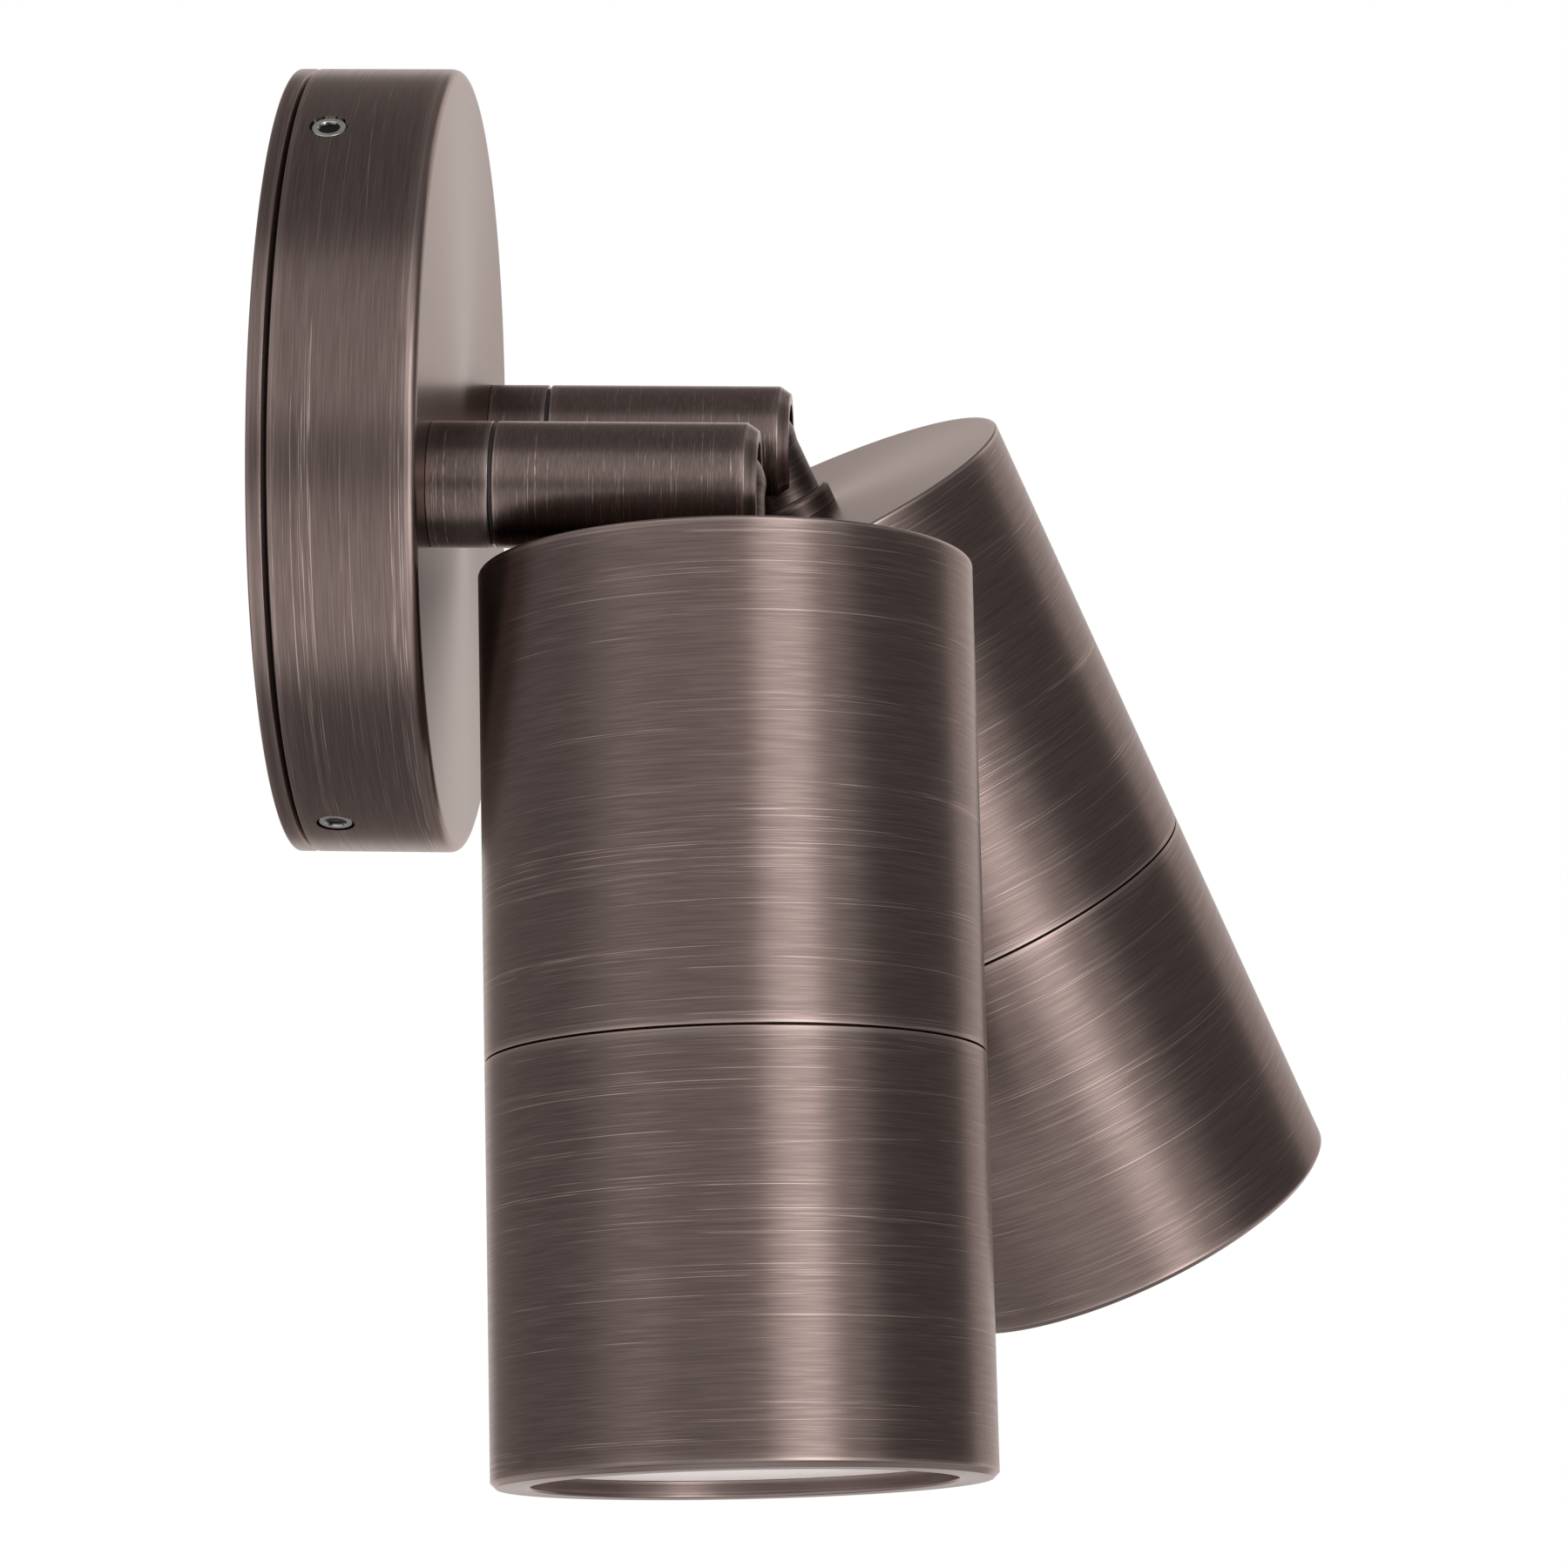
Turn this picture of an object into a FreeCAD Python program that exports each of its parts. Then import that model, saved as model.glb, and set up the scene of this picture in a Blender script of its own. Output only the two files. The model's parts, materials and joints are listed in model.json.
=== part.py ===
import FreeCAD, Part
import math
import os

# A twin spotlight for a wall: a round base with two arms, each carrying a tubular lamp head.
# Lengths are in millimetres and angles in degrees.
# The wall is the plane Y = 0, the light stands out of it along -Y, and Z is up.
# Left and right are as seen by someone who faces the light.

FULL_TURN = 360.0
HALF_TURN = 180.0
QUARTER_TURN = 90.0
ORIGIN = FreeCAD.Vector(0, 0, 0)
X_AXIS = FreeCAD.Vector(1, 0, 0)
Y_AXIS = FreeCAD.Vector(0, 1, 0)
Z_AXIS = FreeCAD.Vector(0, 0, 1)

# One overrun serves every cut, so that no tool face lies on a face of the piece.
overrun = 1.0
# A screw or threaded tube in its own thread, on each side.
thread_clearance = 0.05
# A shaft that turns in its hole, on each side.
running_clearance = 0.05
# A piece that slips over or into another one and then stays, on each side.
slip_clearance = 0.1
# The small broken edge on turned pieces.
edge_break = 0.3

# Base
base_depth = 20.5
base_margin = 8.75
canopy_wall = 4.0
canopy_face_thickness = 3.5
canopy_edge_round = 1.4
plate_rim_thickness = 2.35
plate_rim_chamfer = 0.5
plate_rim_chamfer_width = 0.7
plate_floor = 4.0
register_clearance = 0.25
register_wall = 2.5
register_margin = 0.65
seam_gap = 0.25
canopy_seal_recess = 1.0
gasket_thickness = 0.8
gasket_recess_wall = 3.2
wall_hole_radius = 2.25
wall_hole_spacing = 64.0
wall_hole_relief = 1.5

# Cable entry through the back, below the middle
cable_entry_drop = 16.0
cable_bore_radius = 3.75
grommet_wall = 2.25
grommet_flange = 1.6
grommet_flange_thickness = 1.2

# Grub screws that lock the canopy on the plate
grub_radius = 2.35
grub_recess = 0.2
grub_out = 7.0
grub_socket_across = 2.5
grub_socket_depth = 2.0
grub_count = 3
grub_first_turn = -30.0

# Terminal block and earth screw on the plate, above and beside the cable entry
terminal_ways = 3
terminal_pitch = 10.0
terminal_width = 16.0
terminal_head_room = 2.0
terminal_rise = 12.0
terminal_wire_radius = 1.8
terminal_screw_radius = 1.7
terminal_screw_height = 3.5
terminal_screw_recess = 0.8
terminal_row_share = 0.28
terminal_wire_height_share = 0.42
small_screw_radius = 1.5
small_screw_head_radius = 2.75
small_screw_head_height = 1.7
small_screw_bite = 2.4
small_screw_slot_width = 0.7
small_screw_slot_depth = 0.8
earth_screw_across = -20.0
earth_screw_drop = 14.0
earth_screw_radius = 2.0
earth_head_radius = 3.6
earth_head_height = 2.4
earth_washer_radius = 4.6
earth_washer_thickness = 0.8

# Arms and the swivel where each one meets the base
head_gap = 7.0
head_back_gap = 5.65
arm_radius = 7.75
arm_wall_share = 0.31
socket_length = 7.6
socket_shoulder = 1.75
arm_end_chamfer = 1.45
arm_end_chamfer_width = 1.0
thrust_washer_thickness = 0.4
thrust_washer_recess = 0.5
swivel_bolt_wall = 1.25
swivel_head_lap = 1.05
swivel_head_height = 2.4
swivel_head_clearance = 0.3
swivel_slot_width = 1.2
swivel_slot_depth = 1.0
shoulder_thickness = 4.5
spring_washer_thickness = 0.6
lock_washer_thickness = 1.0
lock_washer_lap = 1.0
lock_nut_wall = 2.5
lock_nut_height = 3.5
bolt_spare = 1.0
stop_pin_radius = 0.7
stop_pin_seat = 2.5
stop_pin_reach = 0.9
stop_groove_clearance = 0.15
stop_groove_floor_gap = 0.3
swivel_travel = 180.0

# Knuckle: the stem's round end turns on a screw in the slotted end of the arm
pivot_to_arm_end = 4.4
knuckle_clearance = 0.1
knuckle_swell = 0.25
slot_width_share = 0.86
stem_wall_share = 0.35
lead_slot_width = 4.0
pivot_screw_radius = 1.5
pivot_head_radius = 2.6
pivot_head_sink = 0.55
pivot_head_land = 0.2
pivot_socket_across = 2.0
pivot_socket_depth = 1.0
pivot_thread_wall = 0.95
pivot_thread_end_gap = 0.15
stem_foot_gap = 0.45
stem_foot_ledge = 1.25
stem_foot_height = 2.66
stem_foot_chamfer = 0.4
stem_nut_wall = 2.0
stem_nut_height = 3.0
stem_washer_width = 3.0
stem_washer_thickness = 1.0
stem_spare = 1.0
stem_ring_cord = 0.42

# Lamp head
head_radius = 30.0
head_length = 110.0
head_seam_share = 0.541
head_wall = 4.0
head_cap_thickness = 4.0
head_edge_round = 0.4
head_seam_gap = 0.25
head_seam_chamfer = 0.15
head_thread_share = 0.5
head_thread_length = 8.0
head_thread_relief = 1.5
head_ring_groove_depth = 0.9
head_ring_groove_start = 1.2
head_ring_side_room = 0.35
rim_chamfer = 0.7
lens_recess = 2.1
lens_thickness = 3.0
lens_ledge = 0.5
lens_clearance = 0.2
lens_gasket_thickness = 1.2
lens_gasket_width = 2.0

# Lamp and the holder that it plugs into
lamp_clearance = 1.0
lamp_length = 54.0
lamp_rim_height_share = 0.176
lamp_cone_height_share = 0.463
lamp_neck_height_share = 0.222
lamp_neck_share = 0.46
lamp_waist_share = 0.56
lamp_front_wall = 1.5
lamp_front_recess = 3.0
lamp_front_thickness = 2.4
lamp_pin_spacing_share = 0.4
lamp_pin_radius = 1.4
lamp_pin_head_radius = 2.4
lamp_pin_length = 7.0
lamp_pin_head_length = 2.5
holder_height = 16.3
holder_pin_clearance = 0.4
bracket_thickness = 1.2
bracket_width = 14.0
bracket_leg_gap = 4.3
bracket_side_clearance = 0.25
bracket_screw_clearance = 0.15
bracket_window_radius = 5.0
lead_radius = 0.91
lead_offset_share = 0.46
lead_top_depth = 4.0

# Pose in which the light is shown: both heads swing apart and tip forward a little
left_swivel = 18.6
left_tilt = 2.5
right_swivel = -7.6
right_tilt = 24.4

# Radii of the arm and of what turns in it
arm_bore = (1 - arm_wall_share) * arm_radius
knuckle_radius = arm_bore - knuckle_clearance
stem_radius = knuckle_radius - knuckle_swell
stem_bore = (1 - stem_wall_share) * stem_radius
slot_half_width = stem_radius + slot_width_share * (arm_bore - stem_radius)
swivel_head_radius = arm_bore - swivel_head_clearance
swivel_bolt_radius = swivel_head_radius - swivel_head_lap
swivel_bolt_bore = swivel_bolt_radius - swivel_bolt_wall
swivel_hole = swivel_bolt_radius + running_clearance
stop_radius = (swivel_hole + arm_radius - edge_break) / 2
socket_spigot_radius = arm_radius - socket_shoulder
lock_washer_radius = socket_spigot_radius + lock_washer_lap
lock_nut_across = 2 * (swivel_bolt_radius + lock_nut_wall)

# The arms stand far enough apart for both heads, and the base is wide enough for both arms.
arm_offset = head_radius + head_gap / 2
base_radius = arm_offset + arm_radius + base_margin

# Radii of the base
canopy_inner_radius = base_radius - canopy_wall
register_radius = canopy_inner_radius - register_clearance
register_height = grub_out + grub_radius + register_margin
gasket_radius = base_radius - gasket_recess_wall - slip_clearance

# Stations along the way out of the wall
canopy_back = plate_rim_thickness + seam_gap
canopy_inner_face = base_depth - canopy_face_thickness
terminal_top = canopy_inner_face - terminal_head_room
terminal_height = terminal_top - plate_floor
socket_front = base_depth + socket_length
arm_back = socket_front + thrust_washer_thickness
shoulder_front = arm_back + shoulder_thickness
pivot_out = base_depth + head_back_gap + head_radius
arm_front = pivot_out + pivot_to_arm_end

# The pivot screw lies along X, its countersunk head on the +X side of the arm.
pivot_head_top = arm_radius - pivot_head_sink
pivot_cone_end = pivot_head_top - pivot_head_land - (pivot_head_radius - pivot_screw_radius)
pivot_thread_end = arm_radius - pivot_thread_wall

# Depths below the pivot, down the length of a head
cap_top = arm_radius + stem_foot_gap + stem_foot_height
cap_underside = cap_top + head_cap_thickness
head_seam = cap_top + head_seam_share * head_length
head_bottom = cap_top + head_length
lens_front = head_bottom - lens_recess
lens_back = lens_front - lens_thickness
lamp_front = lens_back - lens_gasket_thickness
lamp_back = lamp_front - lamp_length
holder_back = lamp_back - holder_height
bracket_back = holder_back - bracket_thickness
stem_tail = cap_underside + stem_washer_thickness + stem_nut_height + stem_spare

# Radii of a head
stem_foot_radius = stem_radius + stem_foot_ledge
stem_ring_radius = stem_radius + slip_clearance + stem_ring_cord
stem_ring_recess = 2 * stem_ring_cord + slip_clearance
head_bore = head_radius - head_wall
head_thread_radius = head_bore + head_thread_share * head_wall
head_ring_cord = (head_ring_groove_depth + thread_clearance) / 2
lens_radius = head_bore - lens_clearance
rim_opening = lens_radius - lens_ledge
lamp_radius = head_bore - lamp_clearance

# Places across a head: the bracket's feet reach out to the bore, and the lampholder stands between its legs.
bracket_reach = math.sqrt((head_bore - bracket_side_clearance) ** 2 - (bracket_width / 2) ** 2)
bracket_leg_outer = bracket_reach - 2 * (small_screw_head_radius + bracket_screw_clearance)
bracket_leg_inner = bracket_leg_outer - bracket_thickness
bracket_screw_offset = (bracket_leg_outer + bracket_reach) / 2
holder_radius = bracket_leg_inner - bracket_leg_gap
lamp_pin_offset = lamp_pin_spacing_share * lamp_radius / 2
pin_hole_radius = lamp_pin_head_radius + holder_pin_clearance
holder_screw_offset = (lamp_pin_offset + pin_hole_radius + holder_radius) / 2
lead_offset = lead_offset_share * stem_bore

SIDES = [
    {"name": "left", "across": -arm_offset, "inward": 1, "swivel": left_swivel, "tilt": left_tilt},
    {"name": "right", "across": arm_offset, "inward": -1, "swivel": right_swivel, "tilt": right_tilt},
]


def turned(outline):
    """Turn an outline of (radius, height) points about Z.

    A point with four values is reached by an arc that passes through the last two.
    """
    corners = [FreeCAD.Vector(point[0], 0, point[1]) for point in outline]
    edges = []
    for index, point in enumerate(outline):
        start = corners[index - 1]
        end = corners[index]
        if len(point) == 4:
            via = FreeCAD.Vector(point[2], 0, point[3])
            edges.append(Part.Arc(start, via, end).toShape())
        else:
            edges.append(Part.LineSegment(start, end).toShape())
    face = Part.Face(Part.Wire(edges))
    return face.revolve(ORIGIN, Z_AXIS, FULL_TURN)


def ring(outer, inner, low, high):
    """A plain ring about Z."""
    return turned([(inner, low), (outer, low), (outer, high), (inner, high)])


def rod(radius, low, high, across=0, up=0):
    """A plain cylinder along Z."""
    return Part.makeCylinder(radius, high - low, FreeCAD.Vector(across, up, low), Z_AXIS)


def block(size_x, size_y, low, high, across=0, up=0):
    """A box centred on its X and Y place, from one height to another."""
    corner = FreeCAD.Vector(across - size_x / 2, up - size_y / 2, low)
    return Part.makeBox(size_x, size_y, high - low, corner)


def hexagon(across_flats, low, high):
    """A six-sided prism about Z, measured across its flats."""
    corner_radius = across_flats / 2 / math.cos(math.pi / 6)
    corners = []
    for index in range(7):
        turn = index * math.pi / 3
        corners.append(FreeCAD.Vector(corner_radius * math.cos(turn), corner_radius * math.sin(turn), low))
    return Part.Face(Part.makePolygon(corners)).extrude(FreeCAD.Vector(0, 0, high - low))


def both_ways(offset):
    """The two places that lie one each side of the middle."""
    return [-offset, offset]


def torus(radius, cord, height):
    """An O-ring about Z."""
    return Part.makeTorus(radius, cord, FreeCAD.Vector(0, 0, height), Z_AXIS)


def moved(shape, across, up, high=0):
    """A copy of a shape, moved."""
    copy = shape.copy()
    copy.translate(FreeCAD.Vector(across, up, high))
    return copy


def quarter_round(centre_radius, centre_height, size, toward=1):
    """The middle point of a quarter round at an outer edge, toward higher heights or lower ones."""
    reach = size * math.cos(math.pi / 4)
    return centre_radius + reach, centre_height + toward * reach


def from_wall(shape, across=0, up=0):
    """Stand a shape that was built along Z on the wall, so that its Z points out along -Y."""
    placed = shape.copy()
    placed.rotate(ORIGIN, X_AXIS, QUARTER_TURN)
    placed.translate(FreeCAD.Vector(across, 0, up))
    return placed


def on_arm(shape, side):
    """Put a shape of the arm's frame on its side of the base, turned by the swivel."""
    placed = from_wall(shape)
    placed.rotate(ORIGIN, Y_AXIS, side["swivel"])
    placed.translate(FreeCAD.Vector(side["across"], 0, 0))
    return placed


def on_head(shape, side):
    """Hang a shape in its knuckle. Its Z is the depth below the pivot and its Y points out of the wall."""
    placed = shape.copy()
    placed.rotate(ORIGIN, X_AXIS, HALF_TURN)
    placed.rotate(ORIGIN, X_AXIS, -side["tilt"])
    placed.rotate(ORIGIN, Y_AXIS, side["swivel"])
    placed.translate(FreeCAD.Vector(side["across"], -pivot_out, 0))
    return placed


def save(name, shape):
    """Write one node, which is a solid or a group of like solids."""
    if not shape.isValid():
        raise ValueError(name + " is not a valid shape")
    shape.exportStep(os.path.join("parts", name + ".step"))
    print(name, len(shape.Solids), "solid", round(sum(solid.Volume for solid in shape.Solids), 2))


def slotted_screw(radius, head_radius, head_height, bite, seat):
    """A pan-head screw along Z, its head on the seat and its shank running down into the bite."""
    screw = turned([
        (0, seat - bite),
        (radius, seat - bite),
        (radius, seat),
        (head_radius, seat),
        (head_radius, seat + head_height - edge_break),
        (head_radius - edge_break, seat + head_height),
        (0, seat + head_height),
    ])
    slot_floor = seat + head_height - small_screw_slot_depth
    slot = block(2 * head_radius + overrun, small_screw_slot_width, slot_floor, slot_floor + overrun)
    return screw.cut(slot)


# Base pieces, built with Z out of the wall and Y up


def terminal_places():
    """The ways of the terminal block, along X."""
    return [(index - (terminal_ways - 1) / 2) * terminal_pitch for index in range(terminal_ways)]


def terminal_fixing_place():
    """The block's own screw stands between its last two ways."""
    return terminal_places()[-1] - terminal_pitch / 2


def make_wall_gasket():
    gasket = rod(gasket_radius, 0, gasket_thickness)
    for up in both_ways(wall_hole_spacing / 2):
        relief = wall_hole_radius + wall_hole_relief
        gasket = gasket.cut(rod(relief, -overrun, gasket_thickness + overrun, 0, up))
    entry = cable_bore_radius + grommet_wall + grommet_flange + slip_clearance
    return gasket.cut(rod(entry, -overrun, gasket_thickness + overrun, 0, -cable_entry_drop))


def make_mounting_plate():
    plate = turned([
        (0, gasket_thickness),
        (gasket_radius + slip_clearance, gasket_thickness),
        (gasket_radius + slip_clearance, 0),
        (base_radius - edge_break, 0),
        (base_radius, edge_break),
        (base_radius, plate_rim_thickness - plate_rim_chamfer),
        (base_radius - plate_rim_chamfer_width, plate_rim_thickness),
        (register_radius, plate_rim_thickness),
        (register_radius, register_height),
        (register_radius - register_wall, register_height),
        (register_radius - register_wall, plate_floor),
        (0, plate_floor),
    ])
    for up in both_ways(wall_hole_spacing / 2):
        plate = plate.cut(rod(wall_hole_radius, -overrun, plate_floor + overrun, 0, up))
    entry = cable_bore_radius + grommet_wall + slip_clearance
    plate = plate.cut(rod(entry, -overrun, plate_floor + overrun, 0, -cable_entry_drop))
    bite = plate_floor - small_screw_bite - thread_clearance
    block_screw = rod(small_screw_radius + thread_clearance, bite, plate_floor + overrun,
                      terminal_fixing_place(), terminal_rise)
    earth_screw = rod(earth_screw_radius + thread_clearance, bite, plate_floor + overrun,
                      earth_screw_across, -earth_screw_drop)
    return plate.cut(block_screw).cut(earth_screw)


def make_cable_grommet():
    neck = cable_bore_radius + grommet_wall
    flange = neck + grommet_flange
    front = plate_floor + grommet_flange_thickness
    grommet = turned([
        (cable_bore_radius, 0),
        (flange, 0),
        (flange, gasket_thickness),
        (neck, gasket_thickness),
        (neck, plate_floor),
        (flange, plate_floor),
        (flange - edge_break, front),
        (cable_bore_radius, front),
    ])
    return moved(grommet, 0, -cable_entry_drop)


def make_canopy_seal():
    return ring(base_radius - canopy_seal_recess, register_radius + slip_clearance,
                plate_rim_thickness, canopy_back)


def make_canopy():
    round_radius, round_height = quarter_round(
        base_radius - canopy_edge_round, base_depth - canopy_edge_round, canopy_edge_round)
    canopy = turned([
        (canopy_inner_radius, canopy_back),
        (base_radius - edge_break / 2, canopy_back),
        (base_radius, canopy_back + edge_break / 2),
        (base_radius, base_depth - canopy_edge_round),
        (base_radius - canopy_edge_round, base_depth, round_radius, round_height),
        (0, base_depth),
        (0, canopy_inner_face),
        (canopy_inner_radius, canopy_inner_face),
    ])
    for side in SIDES:
        hole = socket_spigot_radius + slip_clearance
        canopy = canopy.cut(rod(hole, canopy_inner_face - overrun, base_depth + overrun, side["across"]))
    canopy = from_wall(canopy)
    for index in range(grub_count):
        hole = rod(grub_radius + thread_clearance, register_radius, base_radius + overrun)
        canopy = canopy.cut(around_rim(hole, index))
    return canopy


def around_rim(shape, index):
    """Point a shape that was built along Z out through the rim, at one of the grub screws' places."""
    placed = shape.copy()
    placed.rotate(ORIGIN, Y_AXIS, grub_first_turn + index * FULL_TURN / grub_count)
    placed.translate(FreeCAD.Vector(0, -grub_out, 0))
    return placed


def make_grub_screws():
    tip = register_radius + thread_clearance
    head = base_radius - grub_recess
    screw = turned([
        (0, tip),
        (grub_radius - edge_break, tip),
        (grub_radius, tip + edge_break),
        (grub_radius, head - edge_break),
        (grub_radius - edge_break, head),
        (0, head),
    ])
    screw = screw.cut(hexagon(grub_socket_across, head - grub_socket_depth, head + overrun))
    return Part.makeCompound([around_rim(screw, index) for index in range(grub_count)])


def make_terminal_block():
    body = block(terminal_ways * terminal_pitch, terminal_width, plate_floor, terminal_top, 0, terminal_rise)
    wire_height = plate_floor + terminal_wire_height_share * terminal_height
    for across in terminal_places():
        start = FreeCAD.Vector(across, terminal_rise - terminal_width / 2 - overrun, wire_height)
        length = terminal_width + 2 * overrun
        body = body.cut(Part.makeCylinder(terminal_wire_radius, length, start, Y_AXIS))
        for row in (-1, 1):
            up = terminal_rise + row * terminal_row_share * terminal_width
            screw_hole = terminal_screw_radius + slip_clearance
            body = body.cut(rod(screw_hole, wire_height, terminal_top + overrun, across, up))
    shank = rod(small_screw_radius + slip_clearance, plate_floor - overrun, terminal_top + overrun,
                terminal_fixing_place(), terminal_rise)
    head = rod(small_screw_head_radius + slip_clearance, terminal_screw_seat(), terminal_top + overrun,
               terminal_fixing_place(), terminal_rise)
    return body.cut(shank).cut(head)


def terminal_screw_seat():
    """The fixing screw's head sits this far out, sunk into the top of the block."""
    return terminal_top - small_screw_head_height - terminal_screw_recess


def make_terminal_screws():
    high = terminal_top - terminal_screw_recess
    low = high - terminal_screw_height
    screw = rod(terminal_screw_radius, low, high)
    slot_floor = high - small_screw_slot_depth
    slot = block(2 * terminal_screw_radius + overrun, small_screw_slot_width, slot_floor, high + overrun)
    screw = screw.cut(slot)
    screws = []
    for across in terminal_places():
        for row in (-1, 1):
            up = terminal_rise + row * terminal_row_share * terminal_width
            screws.append(moved(screw, across, up))
    return Part.makeCompound(screws)


def make_terminal_block_screw():
    seat = terminal_screw_seat()
    bite = seat - plate_floor + small_screw_bite
    screw = slotted_screw(small_screw_radius, small_screw_head_radius, small_screw_head_height, bite, seat)
    return moved(screw, terminal_fixing_place(), terminal_rise)


def make_earth_screw():
    seat = plate_floor + earth_washer_thickness
    bite = earth_washer_thickness + small_screw_bite
    screw = slotted_screw(earth_screw_radius, earth_head_radius, earth_head_height, bite, seat)
    washer = ring(earth_washer_radius, earth_screw_radius, plate_floor, seat)
    return moved(screw.fuse(washer).removeSplitter(), earth_screw_across, -earth_screw_drop)


def make_socket_lock_washers():
    washer = ring(lock_washer_radius, swivel_bolt_radius + slip_clearance,
                  canopy_inner_face - lock_washer_thickness, canopy_inner_face)
    return Part.makeCompound([moved(washer, side["across"], 0) for side in SIDES])


def make_socket_lock_nuts():
    high = canopy_inner_face - lock_washer_thickness
    low = high - lock_nut_height
    nut = hexagon(lock_nut_across, low, high)
    nut = nut.cut(rod(swivel_bolt_radius + thread_clearance, low - overrun, high + overrun))
    return Part.makeCompound([moved(nut, side["across"], 0) for side in SIDES])


def stop_pin_place(side):
    """Where a stop pin stands about its arm's axis: it meets the groove's end when the head hangs plumb."""
    turn = math.radians(QUARTER_TURN - swivel_travel / 2)
    return side["inward"] * stop_radius * math.cos(turn), stop_radius * math.sin(turn)


def make_stop_pins():
    pin = rod(stop_pin_radius, socket_front - stop_pin_seat, arm_back + stop_pin_reach)
    pins = []
    for side in SIDES:
        across, up = stop_pin_place(side)
        pins.append(moved(pin, side["across"] + across, up))
    return Part.makeCompound(pins)


# Pieces of one swivel, built about the arm's axis with Z out of the wall


def stop_pin_hole(side, low, high):
    """The hole that a stop pin is pressed into or passes through."""
    across, up = stop_pin_place(side)
    return rod(stop_pin_radius + thread_clearance, low, high, across, up)


def make_swivel_socket(side):
    spigot_end = canopy_inner_face + edge_break
    socket = turned([
        (swivel_bolt_radius + thread_clearance, spigot_end),
        (socket_spigot_radius, spigot_end),
        (socket_spigot_radius, base_depth),
        (arm_radius - edge_break / 2, base_depth),
        (arm_radius, base_depth + edge_break / 2),
        (arm_radius, socket_front - edge_break / 2),
        (arm_radius - edge_break / 2, socket_front),
        (swivel_bolt_radius + thread_clearance, socket_front),
    ])
    return socket.cut(stop_pin_hole(side, socket_front - stop_pin_seat, socket_front + overrun))


def make_thrust_washer(side):
    washer = ring(arm_radius - thrust_washer_recess, swivel_hole + slip_clearance, socket_front, arm_back)
    return washer.cut(stop_pin_hole(side, socket_front - overrun, arm_back + overrun))


def make_spring_washer(side):
    return ring(swivel_head_radius - slip_clearance, swivel_bolt_radius + slip_clearance,
                shoulder_front, shoulder_front + spring_washer_thickness)


def make_swivel_bolt(side):
    tail = canopy_inner_face - lock_washer_thickness - lock_nut_height - bolt_spare
    head_back = shoulder_front + spring_washer_thickness
    head_front = head_back + swivel_head_height
    bolt = turned([
        (swivel_bolt_bore, tail),
        (swivel_bolt_radius - edge_break, tail),
        (swivel_bolt_radius, tail + edge_break),
        (swivel_bolt_radius, head_back),
        (swivel_head_radius, head_back),
        (swivel_head_radius, head_front - edge_break),
        (swivel_head_radius - edge_break, head_front),
        (swivel_bolt_bore, head_front),
    ])
    slot = block(2 * swivel_head_radius + overrun, swivel_slot_width,
                 head_front - swivel_slot_depth, head_front + overrun)
    return bolt.cut(slot)


def stop_groove():
    """An arc of groove in the arm's back face, in which the stop pin ends the swivel's travel."""
    half_width = stop_pin_radius + stop_groove_clearance
    pin_turn = math.degrees(2 * math.asin((stop_pin_radius + stop_groove_clearance) / stop_radius))
    sweep = swivel_travel + pin_turn
    depth = stop_pin_reach + stop_groove_floor_gap
    corners = [
        FreeCAD.Vector(stop_radius - half_width, 0, arm_back - overrun),
        FreeCAD.Vector(stop_radius + half_width, 0, arm_back - overrun),
        FreeCAD.Vector(stop_radius + half_width, 0, arm_back + depth),
        FreeCAD.Vector(stop_radius - half_width, 0, arm_back + depth),
    ]
    face = Part.Face(Part.makePolygon(corners + corners[:1]))
    groove = face.revolve(ORIGIN, Z_AXIS, sweep)
    groove.rotate(ORIGIN, Z_AXIS, QUARTER_TURN - sweep / 2)
    return groove


def knuckle_slot():
    """The milled slot that the stem swings through, open below and at the arm's end."""
    half_width = slot_half_width
    front = arm_front + overrun
    edges = [
        Part.LineSegment(FreeCAD.Vector(half_width, 0, pivot_out), FreeCAD.Vector(half_width, 0, front)),
        Part.LineSegment(FreeCAD.Vector(half_width, 0, front), FreeCAD.Vector(-half_width, 0, front)),
        Part.LineSegment(FreeCAD.Vector(-half_width, 0, front), FreeCAD.Vector(-half_width, 0, pivot_out)),
        Part.Arc(FreeCAD.Vector(-half_width, 0, pivot_out), FreeCAD.Vector(0, 0, pivot_out - half_width),
                 FreeCAD.Vector(half_width, 0, pivot_out)),
    ]
    face = Part.Face(Part.Wire([edge.toShape() for edge in edges]))
    return face.extrude(FreeCAD.Vector(0, -arm_radius - overrun, 0))


def along_x(shape, out):
    """Turn a shape that was built along Z until it lies along X, at one distance from the wall."""
    placed = shape.copy()
    placed.rotate(ORIGIN, Y_AXIS, QUARTER_TURN)
    placed.translate(FreeCAD.Vector(0, 0, out))
    return placed


def pivot_screw_hole():
    """What is drilled through the arm's two cheeks for the pivot screw."""
    grown = pivot_head_radius + slip_clearance
    head = turned([
        (0, pivot_cone_end - slip_clearance),
        (pivot_screw_radius + running_clearance, pivot_cone_end - slip_clearance),
        (grown, pivot_head_top - pivot_head_land),
        (grown, arm_radius + overrun),
        (0, arm_radius + overrun),
    ])
    shank = rod(pivot_screw_radius + running_clearance, -pivot_thread_end, pivot_head_top)
    return along_x(head.fuse(shank), pivot_out)


def make_arm(side):
    arm = turned([
        (swivel_hole, arm_back),
        (arm_radius - edge_break, arm_back),
        (arm_radius, arm_back + edge_break),
        (arm_radius, arm_front - arm_end_chamfer),
        (arm_radius - arm_end_chamfer_width, arm_front),
        (arm_bore, arm_front),
        (arm_bore, shoulder_front),
        (swivel_hole, shoulder_front),
    ])
    return arm.cut(stop_groove()).cut(knuckle_slot()).cut(pivot_screw_hole())


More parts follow.
